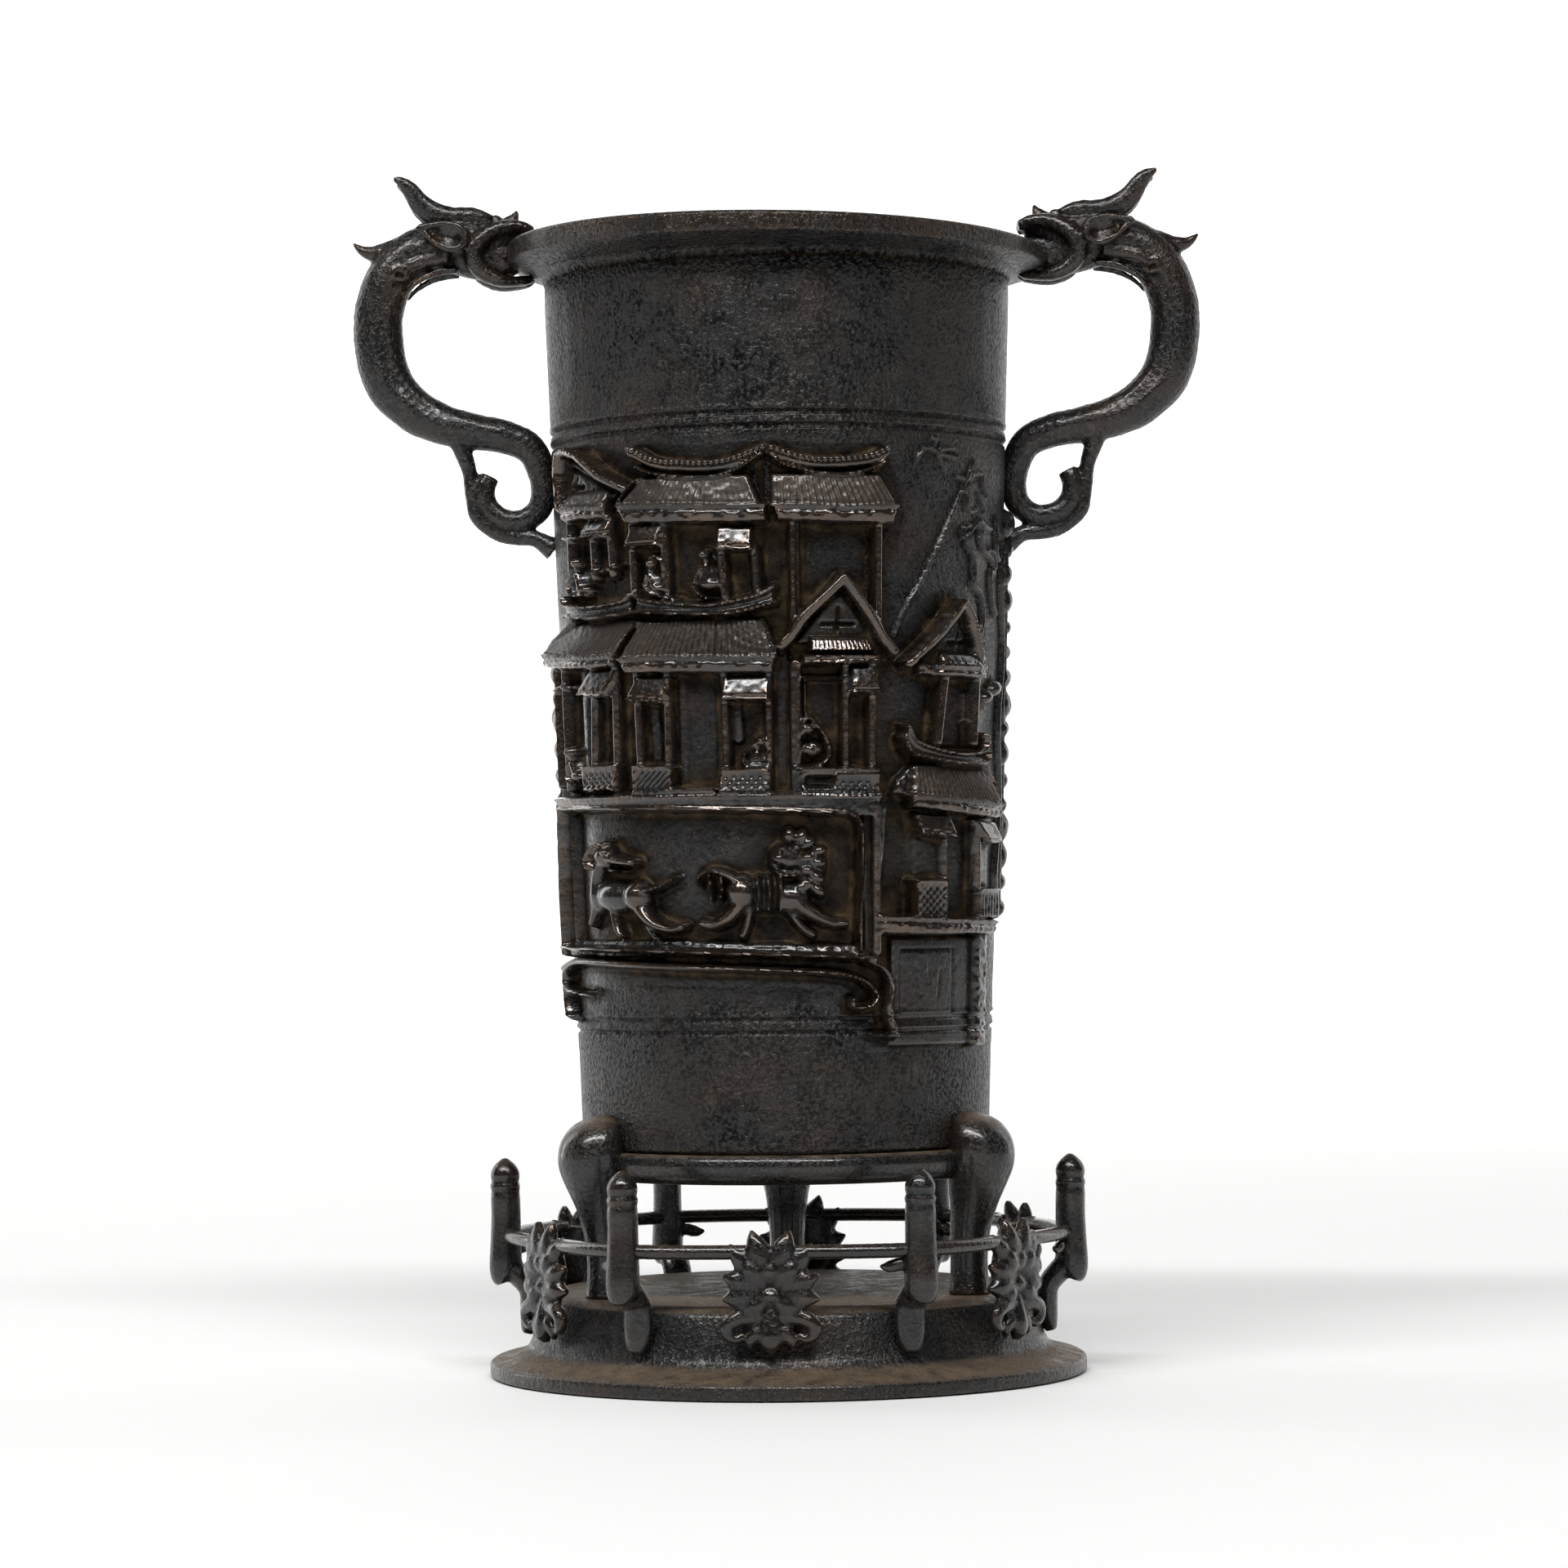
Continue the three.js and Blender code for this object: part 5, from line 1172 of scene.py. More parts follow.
def patina(name, colours, recess_dust, rubbing_and_sheen, roughness, wax, grain, dust_top=0.0):
    """Cast leaded bronze, stained near black and handled: a cool skin with browner patches and
    pits of about half a millimetre, warm edges worn bare under wax, and ochre ash where a cloth
    doesn't reach. Painted shade darkens the hollows, and on the relief a painted reddish-brown
    sheen lies on the broad raised forms."""
    material = bpy.data.materials.new(name)
    material.use_nodes = True
    tree = material.node_tree
    tree.nodes.clear()
    place = node(tree, "ShaderNodeTexCoord").outputs["Object"]

    def noise(size, detail, rough, shift=0.0):
        """Noise whose largest patches have a size in millimetres."""
        where = node(tree, "ShaderNodeMapping", {"Location": (shift, shift, shift)},
                     {"Vector": place})
        made = node(tree, "ShaderNodeTexNoise",
                    {"Scale": 1 / (size * MM), "Detail": detail, "Roughness": rough},
                    {"Vector": where.outputs[0]})
        return made.outputs["Fac"]

    def spread(value, low, high, start=0.0, end=1.0):
        """The value's range from low to high, spread from start to end."""
        return node(tree, "ShaderNodeMapRange",
                    {"From Min": low, "From Max": high, "To Min": start, "To Max": end},
                    {"Value": value}).outputs[0]

    def maths(operation, a, b, clamp=False):
        """An operation on two values, each a number or a socket."""
        made = node(tree, "ShaderNodeMath", {"operation": operation, "use_clamp": clamp})
        for i, value in enumerate((a, b)):
            if isinstance(value, (int, float)):
                made.inputs[i].default_value = value
            else:
                tree.links.new(value, made.inputs[i])
        return made.outputs[0]

    def mixed(share, a, b):
        """From colour a to colour b, each sRGB hex or a socket."""
        made = node(tree, "ShaderNodeMix", {"data_type": "RGBA"}, {"Factor": share})
        for i, colour in ((6, a), (7, b)):
            if isinstance(colour, str):
                made.inputs[i].default_value = linear(colour)
            else:
                tree.links.new(colour, made.inputs[i])
        return made.outputs[2]

    patches = noise(9, 3.0, 0.55)
    specks = noise(0.5, 2.0, 0.62, 0.3)
    smudges = noise(2.6, 4.0, 0.6, 0.7)
    recess, crest, ash, bare = (
        node(tree, "ShaderNodeAttribute", {"attribute_name": key}).outputs["Fac"]
        for key in ("recess", "ridge", "ash", "bare")
    )

    def as_wall(value, key, own):
        """The value, turned to that of the wall on the bare ground round the relief."""
        return maths("ADD", value, maths("MULTIPLY", bare, WALL_WEAR[key] - own))

    coarse = as_wall(grain, "grain", grain)
    wax = as_wall(wax, "wax", wax)

    # Colour
    pits = maths("MULTIPLY", spread(specks, 0.52, 0.41), spread(patches, 0.36, 0.6, 1.0, 0.5))
    pits = maths("MULTIPLY", pits, spread(smudges, 0.4, 0.55, 0.3, 1.0))
    ground = mixed(spread(patches, 0.45, 0.66), colours.patina, colours.warm_patina)
    tan = maths("MULTIPLY", spread(smudges, 0.56, 0.7), spread(patches, 0.45, 0.6))
    ground = mixed(maths("MULTIPLY", tan, 0.5), ground, TAN_SMUDGE)
    black = maths("MULTIPLY", pits, maths("MINIMUM", maths("MULTIPLY", coarse, 0.8), 0.9))
    ground = mixed(black, ground, PIT)
    ground = mixed(maths("MULTIPLY", ash, 0.32), ground, ROOF_ASH)
    # Painted shade: the hollows are darkened towards near black
    hollow = spread(recess, 0.12, 0.6)
    ground = mixed(maths("MULTIPLY", hollow, 0.85), ground, RECESS_SHADE)
    # Edges worn bare are real wear; on the relief's broad raised forms the same colour is a painted
    # reddish-brown sheen
    bared = maths("MULTIPLY", spread(crest, 0.35, 1.0),
                  spread(smudges, 0.36, 0.62, 0.15, 1.0))
    bared = maths("MULTIPLY", bared, rubbing_and_sheen, True)
    ground = mixed(bared, ground, colours.rubbed_and_sheen)
    lying = maths("MULTIPLY", spread(recess, 0.3, 1.0), spread(smudges, 0.4, 0.66, 0.1, 1.0))
    lying = maths("MULTIPLY", lying, recess_dust, True)
    if dust_top:
        normal = node(tree, "ShaderNodeNewGeometry").outputs["Normal"]
        up = node(tree, "ShaderNodeSeparateXYZ", links={0: normal}).outputs["Z"]
        settled = maths("MULTIPLY", spread(up, 0.55, 0.98), spread(smudges, 0.3, 0.62, 0.25, 1.0))
        lying = maths("MAXIMUM", lying, maths("MULTIPLY", settled, dust_top), True)
    colour = mixed(lying, ground, colours.dust)

    # Sheen
    rough = spread(specks, 0.3, 0.7, roughness + 0.12, roughness - 0.1)
    rough = as_wall(rough, "roughness", roughness)
    rough = maths("ADD", rough, maths("MULTIPLY", lying, 0.45))
    rough = maths("ADD", rough, maths("MULTIPLY", ash, 0.15))
    rough = maths("SUBTRACT", rough, maths("MULTIPLY", spread(crest, 0.2, 0.8), 0.14), True)
    metal = maths("SUBTRACT", spread(bared, 0.0, 0.4, 0.4, 0.95), lying, True)

    height = maths("SUBTRACT", maths("MULTIPLY", smudges, 0.6), maths("MULTIPLY", pits, 0.8))
    height = maths("ADD", height, maths("MULTIPLY", specks, 0.8))
    height = maths("MULTIPLY", height, coarse)
    bump = node(tree, "ShaderNodeBump", {"Strength": 1.0, "Distance": BUMP_HEIGHT},
                {"Height": height})
    waxed = maths("MULTIPLY", spread(crest, 0.0, 0.45, 0.3, 1.0), wax)
    # The hollows also lose coat and gloss, which darkens them further as painted shade
    waxed = maths("SUBTRACT", waxed, maths("ADD", lying, maths("MULTIPLY", hollow, 0.5)), True)
    gloss = maths("SUBTRACT", 0.9, maths("MULTIPLY", coarse, 0.1))
    gloss = maths("SUBTRACT", gloss, maths("MULTIPLY", waxed, 0.4))
    gloss = maths("SUBTRACT", gloss, maths("MULTIPLY", black, 0.75), True)
    dull = maths("ADD", maths("MULTIPLY", hollow, 0.75), maths("MULTIPLY", ash, 0.4))
    gloss = maths("SUBTRACT", gloss, dull, True)
    shader = node(tree, "ShaderNodeBsdfPrincipled", {"Coat Roughness": 0.14}, {
        "Base Color": colour, "Roughness": rough, "Metallic": metal, "Specular IOR Level": gloss,
        "Coat Weight": waxed, "Normal": bump.outputs[0],
    })
    out = node(tree, "ShaderNodeOutputMaterial")
    tree.links.new(shader.outputs[0], out.inputs[0])
    return material


def finish_for(name):
    """The finish of one casting, made when it is first asked for."""
    if name in bpy.data.materials:
        return bpy.data.materials[name]
    colours = bpy.context.scene.vase_colours
    if name == "paper_floor":
        material = bpy.data.materials.new(name)
        material.use_nodes = True
        shader = material.node_tree.nodes["Principled BSDF"]
        shader.inputs["Base Color"].default_value = linear(colours.floor)
        shader.inputs["Roughness"].default_value = 0.9
        return material
    return patina(name, colours, **WEAR[name])


def finished(piece, material, slot, *nodes):
    """Gives a piece its finish and sets it on the frame in place of its solids."""
    piece.data.materials.clear()
    piece.data.materials.append(finish_for(material))
    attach(piece, BODY)
    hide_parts(*nodes)


# Pieces


class VASE_OT_beaker(bpy.types.Operator):
    """Turns the vase's wall, rim and floor, with the pairs of lines above and below the relief."""

    bl_idname = "vase.beaker"
    bl_label = "Beaker"

    def execute(self, context):
        depth = context.scene.vase_sizes.groove_depth / MM
        top, rim = VASE_TOP, RIM_RADIUS
        heights = np.concatenate([
            [VASE_FOOT + 0.6], np.arange(29.5, 41, 1.2), np.arange(41, 45.2, 0.12),
            np.arange(46, 111, 1.2), np.arange(111.2, 116, 0.12), np.arange(116.6, 130.6, 1.2),
        ])
        wall = np.stack([wall_radius(heights) - groove_at(heights, depth), heights], 1)
        foot = eased([(0, VASE_FOOT), (FOOT_RADIUS - 0.05, VASE_FOOT), tuple(wall[0])], 0.5)
        flare = eased([
            tuple(wall[-1]), (MOUTH_RADIUS - 0.1, FLARE_BOTTOM + 0.1, 0.7),
            (MOUTH_RADIUS + 0.8, top - 3.6, 0.5), (rim - 1.3, top - 2.95, 0.4),
            (rim - 0.1, top - 2.4, 0.3), (rim, top - 0.3, 0.45), (rim - 0.9, top, 0.4),
            (MOUTH_RADIUS - 1.2, top - 0.25, 0.9), (MOUTH_RADIUS - WALL, top - 2.6, 0.9),
            (FOOT_RADIUS - WALL + 0.2, VASE_FOOT + 3.2, 1.2), (0, VASE_FOOT + 2.5),
        ])
        profile = np.vstack([foot[:-1], wall, flare[1:]])
        piece = turned("vase_beaker", profile, 224, 2.4)
        # The mouth of this one was cast a little higher on the left
        points = places(piece.data)
        flared = np.clip((points[:, 2] - FLARE_BOTTOM) / 3, 0, 1)
        points[:, 2] -= flared * points[:, 0] / RIM_RADIUS * 0.72
        set_places(piece.data, points)
        shade(weather(piece, 6, 0.1), 55)
        finished(piece, "bronze_wall_patina", "vase_bronze", "vase_body")
        return {"FINISHED"}


class VASE_OT_relief(bpy.types.Operator):
    """Models the pavilions, the panel of beasts and the plainer back on the wall."""

    bl_idname = "vase.relief"
    bl_label = "Relief"

    def execute(self, context):
        sizes = context.scene.vase_sizes
        step = sizes.relief_step / MM
        depth = sizes.groove_depth / MM
        front = WallSheet(-96, 96, 39, 111.9, step)
        for draw in (sky_and_trees, upper_storey, porch, lower_storey, beast_frieze, low_table,
                     right_tower, door_panel):
            draw(front)
        finished_sheet(front, 101)
        # The front is cut under the frieze, the lower storey and the upper storey
        cuts = [int(np.searchsorted(front.heights, z)) for z in (52.6, 69.9, 91.4)]
        names = ("table_relief", "frieze_relief", "pavilion_relief", "balcony_relief")
        for name, low, high in zip(names, [0, *cuts], [*cuts, len(front.heights) - 1]):
            piece = relief_piece(front, name, slice(low, high + 1), depth)
            finished(piece, "bronze_relief_patina", "vase_bronze", "vase_body")
        back = WallSheet(95.4, 264.6, 50.5, 106, step * 1.6)
        back_view(back)
        finished_sheet(back, 111)
        piece = relief_piece(back, "back_relief", slice(0, None), depth)
        finished(piece, "bronze_relief_patina", "vase_bronze", "vase_body")
        return {"FINISHED"}


class VASE_OT_ridge_beads(bpy.types.Operator):
    """Sets beads along the hanging roof ridges."""

    bl_idname = "vase.ridge_beads"
    bl_label = "Ridge Beads"

    def execute(self, context):
        sizes = context.scene.vase_sizes
        points, edges = [], []
        for path in (MIDDLE_RIDGE, RIGHT_RIDGE, BACK_RIDGE):
            start = len(points)
            for azimuth, height in smooth_path(path, 4):
                radius = wall_radius(height) + 2.2
                turn = math.radians(azimuth)
                points.append((radius * math.sin(turn) * MM, -radius * math.cos(turn) * MM,
                               height * MM))
            edges += [(i, i + 1) for i in range(start, len(points) - 1)]
        mesh = bpy.data.meshes.new("ridge_beads")
        mesh.from_pydata(points, edges, [])
        piece = bpy.data.objects.new("ridge_beads", mesh)
        context.scene.collection.objects.link(piece)
        run_nodes(piece, bead_tree(), {
            "Spacing": sizes.bead_spacing, "Size": (0.34 * MM, 0.36 * MM, 0.36 * MM),
            "Seed": 5, "Material": finish_for("bronze_relief_patina"),
        })
        shade(weather(piece, 2, 0.05))
        finished(piece, "bronze_relief_patina", "vase_bronze", "vase_body")
        return {"FINISHED"}


def handle_place(out, rise, across=0.0):
    """A place on the right handle: distance beyond the wall, height above the rim's top."""
    z = VASE_TOP + rise
    return (wall_radius(z) + out, across, z)


def handle_bar(stations, sides=20, steps=5):
    """A bar of the handle through (out, rise, across, half width, half depth)."""
    rows = [(*handle_place(*s[:3]), s[3], s[4]) for s in stations]
    return limb(rows, (0, 1, 0), sides, steps)


def swell(points, path, radius, rise):
    """How far a line along a path of places near the surface raises the points, or with a
    negative rise, cuts them."""
    path = smooth_path(path, 8)
    best = np.full(len(points), np.inf)
    for a, b in zip(path[:-1], path[1:]):
        span = b - a
        t = np.clip(((points - a) @ span) / max(span @ span, 1e-9), 0, 1)
        best = np.minimum(best, np.linalg.norm(points - a - t[:, None] * span, axis=1))
    t = np.clip(best / radius, 0, 1)
    return rise * (1 - t * t) ** 2


class VASE_OT_dragon_handles(bpy.types.Operator):
    """Fuses each dragon handle from its neck, head, jaw, horns, mane and scrolls."""

    bl_idname = "vase.dragon_handles"
    bl_label = "Dragon Handles"

    def parts(self):
        """The overlapping bars and lumps of the right handle."""
        neck = [
            (11.4, 0.6), (15.2, -0.2), (18.5, -2.9), (20.4, -8.2), (19.8, -15.2), (16.8, -19.1),
            (13.4, -21.0), (9.4, -22.0), (5.6, -22.7), (2.6, -24.2), (1.4, -26.8), (1.1, -29.3),
            (1.9, -31.7), (4.0, -33.0), (6.5, -32.7), (8.1, -31.1), (8.4, -29.1), (7.6, -27.5),
        ]
        radii = [3.2, 3.1, 3.0, 3.0, 3.0, 2.75, 2.5, 2.25, 2.05, 1.9, 1.75, 1.6, 1.5, 1.4, 1.35,
                 1.3, 1.3, 1.15]
        parts = [handle_bar([(o, r, 0, w, w * 1.02) for (o, r), w in zip(neck, radii)], 24)]
        # The thin strand from the scroll to the wall, as (out, rise, half width)
        strand = [(11.6, -22.2, 1.3), (10.2, -26.6, 0.95), (9.9, -29.8, 0.9), (9.5, -32.3, 0.9),
                  (7.6, -34.2, 0.95), (5.2, -35, 0.95), (2.4, -35.2, 1.0), (0.2, -36.6, 1.5)]
        parts.append(handle_bar([(o, r, 0, w, w) for o, r, w in strand], 16))
        # Skull over the muzzle to the nose, then the back of the head
        parts.append(handle_bar([
            (16.6, -0.9, 0, 2.7, 3.0), (13.6, 0.2, 0, 3.0, 3.5), (10.6, 1.2, 0, 3.2, 3.6),
            (7.6, 1.5, 0, 2.7, 3.1), (4.6, 2.0, 0, 1.7, 2.6), (1.6, 2.5, 0, 0.9, 1.9),
            (0.8, 2.5, 0, 0.4, 1.3),
        ]))
        # Upper lip that bites the rim and curls back into the cheek
        for half in (-1, 1):
            parts.append(handle_bar([
                (0.9, 2.1, half * 1.6, 0.7, 0.8), (2.6, 2.7, half * 2.1, 0.85, 0.9),
                (4.8, 2.5, half * 2.7, 0.95, 0.95), (6.8, 1.5, half * 3.1, 1.0, 1.0),
                (8.0, 0.0, half * 3.2, 1.05, 1.0), (8.1, -1.7, half * 3.0, 1.05, 1.1),
                (6.9, -3.1, half * 2.6, 1.0, 1.2), (4.8, -3.9, half * 2.1, 0.8, 1.2),
                (2.2, -3.8, half * 1.4, 0.6, 1.0), (1.2, -3.4, half * 0.9, 0.4, 0.7),
            ], 16))
            # Ear: a bowl with a rolled rim and a pointed lobe
            parts.append(lump(handle_place(11.0, 1.3, half * 3.7), (2.3, 0.9, 1.6)))
            ear = [(9.0, 1.2), (9.7, 2.5), (11.5, 2.9), (13.2, 2.7), (14.7, 2.4), (13.3, 1.2),
                   (12.0, 0.1), (10.6, -0.3), (9.3, 0.3), (9.0, 1.2)]
            parts.append(handle_bar([(o, r, half * 4.15, 0.42, 0.5) for o, r in ear], 12, 4))
            # Horn: along the brow, then up and back
            parts.append(handle_bar([
                (6.1, 3.7, half * 1.3, 0.7, 0.8), (8.0, 4.1, half * 1.5, 1.15, 1.1),
                (10.6, 4.1, half * 1.7, 1.25, 1.15), (12.9, 4.5, half * 1.9, 1.5, 1.1),
                (14.5, 5.7, half * 2.1, 1.35, 1.0), (15.5, 7.2, half * 2.3, 1.1, 0.85),
                (16.5, 8.2, half * 2.5, 0.75, 0.65), (17.6, 8.75, half * 2.7, 0.3, 0.35),
            ], 16))
            # Brow bumps, cheek fin and its swirl
            parts.append(lump(handle_place(5.4, 3.6, half * 1.0), (0.75, 0.7, 0.75)))
            parts.append(lump(handle_place(7.0, 3.9, half * 1.5), (0.8, 0.75, 0.95)))
            parts.append(handle_bar([
                (11.2, -0.9, half * 2.9, 0.9, 0.6), (13.6, -1.3, half * 3.0, 0.85, 0.6),
                (15.6, -1.8, half * 2.9, 0.7, 0.6), (17.2, -2.6, half * 2.7, 0.6, 0.5),
            ], 12))
            swirl = [(17.3 + 0.8 * math.cos(t), -3.0 + 0.8 * math.sin(t))
                     for t in np.linspace(1.6, -4.2, 9)]
            parts.append(handle_bar([(o, r, half * 2.95, 0.36, 0.42) for o, r in swirl], 10, 3))
            parts.append(handle_bar([
                (10.4, -2.5, half * 2.2, 0.45, 0.5), (13.2, -2.9, half * 2.3, 0.45, 0.5),
                (15.6, -4.2, half * 2.3, 0.35, 0.45), (16.9, -5.6, half * 2.2, 0.2, 0.3),
            ], 10))
        # The closed mouth between the lips
        parts.append(handle_bar([
            (1.6, 0.6, 0, 1.3, 1.1), (3.6, -0.3, 0, 2.4, 1.7), (5.6, -0.9, 0, 2.7, 2.2),
            (8.0, -1.0, 0, 2.4, 2.5), (11.0, -0.4, 0, 2.2, 2.6),
        ]))
        # Nose horn and the spike of the mane
        parts.append(handle_bar([
            (4.6, 2.8, 0, 1.1, 1.3), (3.6, 3.7, 0, 0.85, 0.95), (3.0, 4.5, 0, 0.45, 0.55),
            (2.9, 5.1, 0, 0.12, 0.15),
        ], 12))
        parts.append(handle_bar([
            (13.8, 0.6, 0, 1.9, 2.6), (17.2, 0.5, 0, 1.5, 1.9), (19.9, -0.1, 0, 1.1, 1.3),
            (21.6, 0.1, 0, 0.75, 0.8), (22.7, 0.9, 0, 0.32, 0.4), (23.1, 1.25, 0, 0.1, 0.12),
        ], 16))
        return parts

    def execute(self, context):
        voxel = context.scene.vase_sizes.cast_voxel
        right = fused("dragon_handle_right_cast", self.parts(), voxel, 4)
        mesh = right.data
        points = places(mesh)
        shift = np.zeros(len(points))
        ridge_line = [(17.0, -3.6), (19.4, -8), (18.6, -14.6), (15.6, -18.4), (11.6, -20.4),
                      (7.6, -21.6), (4.4, -22.6)]
        for half in (-1, 1):
            on_neck = [handle_place(o + 0.4, r, half * 2.9) for o, r in ridge_line]
            shift += swell(points, on_neck, 1.1, -0.22)
            outer = [handle_place(o + 2.1, r + 0.3, half * 2.0) for o, r in ridge_line]
            shift += swell(points, outer, 0.8, 0.12)
            eye = [handle_place(6.0, 2.3, half * 2.9), handle_place(7.0, 2.5, half * 3.0)]
            shift += swell(points, eye, 0.6, -0.3)
            bowl = [handle_place(10.4, 1.1, half * 4.5), handle_place(12.4, 1.5, half * 4.5)]
            shift += swell(points, bowl, 1.1, -0.55)
            mouth = [handle_place(2.0, 0.9, half * 2.4), handle_place(4.6, 1.0, half * 2.8),
                     handle_place(6.0, -0.4, half * 2.9), handle_place(5.2, -2.0, half * 2.6)]
            shift += swell(points, mouth, 1.0, -0.35)
        wobble = np.sin(points * 1.7 + 0.6).sum(1) * 0.02 + np.sin(points * 4.3).prod(1) * 0.04
        points += normals_of(mesh) * (shift + wobble)[:, None]
        set_places(mesh, points)
        shade(weather(right, 10, 0.14), 80)
        left_mesh = mesh.copy()
        left_mesh.name = "dragon_handle_left_cast"
        left_mesh.transform(Matrix.Rotation(math.pi, 4, "Z"))
        left = bpy.data.objects.new("dragon_handle_left_cast", left_mesh)
        context.scene.collection.objects.link(left)
        finished(right, "bronze_handle_patina", "handle_bronze", "dragon_handle_right")
        finished(left, "bronze_handle_patina", "handle_bronze", "dragon_handle_left")
        return {"FINISHED"}


class VASE_OT_tripod_stand(bpy.types.Operator):
    """Turns the ring under the vase and sets three swelling legs round it."""

    bl_idname = "vase.tripod_stand"
    bl_label = "Tripod Stand"

    def execute(self, context):
        top = VASE_FOOT - STAND_GAP
        bottom = top - 3.4
        outer = STAND_RADIUS
        ring = turned("stand_ring", eased([
            (outer - 6.4, bottom), (outer - 1.1, bottom, 0.3), (outer - 0.5, bottom + 0.6, 0.4),
            (outer, bottom + 1.9, 0.7), (outer - 0.15, bottom + 2.9, 0.4), (outer - 0.6, top, 0.3),
            (outer - 1.4, top + 0.05, 0.2), (outer - 6.4, top, 0.3), (outer - 6.4, bottom),
        ], 0.3), 192, 0.8)
        shade(weather(ring, 5, 0.09))
        finished(ring, "bronze_stand_patina", "stand_bronze", "tripod_stand")

        foot = PLINTH_TOP
        stations = [
            (24.4, 31.9, 0.5, 0.4), (25.2, 31.6, 2.0, 1.4), (25.9, 30.6, 3.5, 2.8),
            (26.4, 29.0, 4.3, 3.7), (26.6, 27.2, 4.5, 4.0), (26.5, 25.2, 4.3, 3.9),
            (26.1, 23.0, 3.6, 3.4), (25.6, 20.6, 2.9, 2.8), (25.1, 17.6, 2.45, 2.4),
            (LEG_CIRCLE, 14.6, 2.25, 2.25), (LEG_CIRCLE, 12, 2.3, 2.3),
            (LEG_CIRCLE, foot + 0.7, 2.45, 2.45), (LEG_CIRCLE, foot - 0.1, 2.5, 2.5),
        ]
        rows = [(0, -radius, z, wide, deep) for radius, z, wide, deep in stations]
        leg = fused("stand_legs", [limb(rows, (0, 1, 0), 32, 5)], LEG_VOXEL)
        run_nodes(leg, ring_tree(), {
            "Copies": 3, "Turn": math.pi, "Material": finish_for("bronze_stand_patina"),
        })
        shade(weather(leg, 8, 0.1), 80)
        finished(leg, "bronze_stand_patina", "stand_bronze", "tripod_stand")
        return {"FINISHED"}


class VASE_OT_plinth(bpy.types.Operator):
    """Turns the round plinth: a disc, a hollow step and a drum, open underneath."""

    bl_idname = "vase.plinth"
    bl_label = "Plinth"

    def execute(self, context):
        top, disc = PLINTH_TOP, DISC_RADIUS
        profile = eased([
            (disc - 0.5, 0.02), (disc - 0.05, 0.3, 0.2), (disc - 0.05, 1.7, 0.25),
            (disc - 0.6, 2.1, 0.2), (disc - 1.6, 2.3, 0.4), (disc - 3.2, 2.8, 0.6),
            (disc - 4.4, 3.3, 0.5), (31.2, 4.2, 0.7), (30.8, 5.4, 0.5), (30.2, 7.8, 0.6),
            (29.7, 9.3, 0.4), (29.2, 9.8, 0.4), (28.2, top - 0.05, 0.4), (12, top - 0.12, 0.5),
            (0, top - 0.12),
        ], 0.3)
        under = eased([
            (0, top - 2), (27, top - 2, 0.6), (27.8, top - 3.2, 0.6), (29.5, 2.3, 0.6),
            (30.3, 0.3, 0.3), (31.5, 0.02, 0.3), (disc - 0.6, 0.02),
        ], 0.4)
        whole = np.vstack([under, profile[1:-1], [[0, top - 0.12]]])
        piece = turned("plinth_casting", whole, 224, 1.2)
        shade(weather(piece, 5, 0.1), 60)
        finished(piece, "bronze_plinth_patina", "plinth_bronze", "plinth")
        return {"FINISHED"}


def ring_place(radius, height, across=0.0):
    """A place at the front of the plinth, height above its top."""
    return (across, -radius, PLINTH_TOP + height)


def petal(points, thickness):
    """A petal of the lotus head through (across, height, standing out, half width)."""
    rows = [(*ring_place(LOTUS_CIRCLE + out, height, across), wide,
             thickness * min(1, 0.35 + wide / 1.6)) for across, height, out, wide in points]
    return limb(rows, (0, 1, 0), 14, 5)


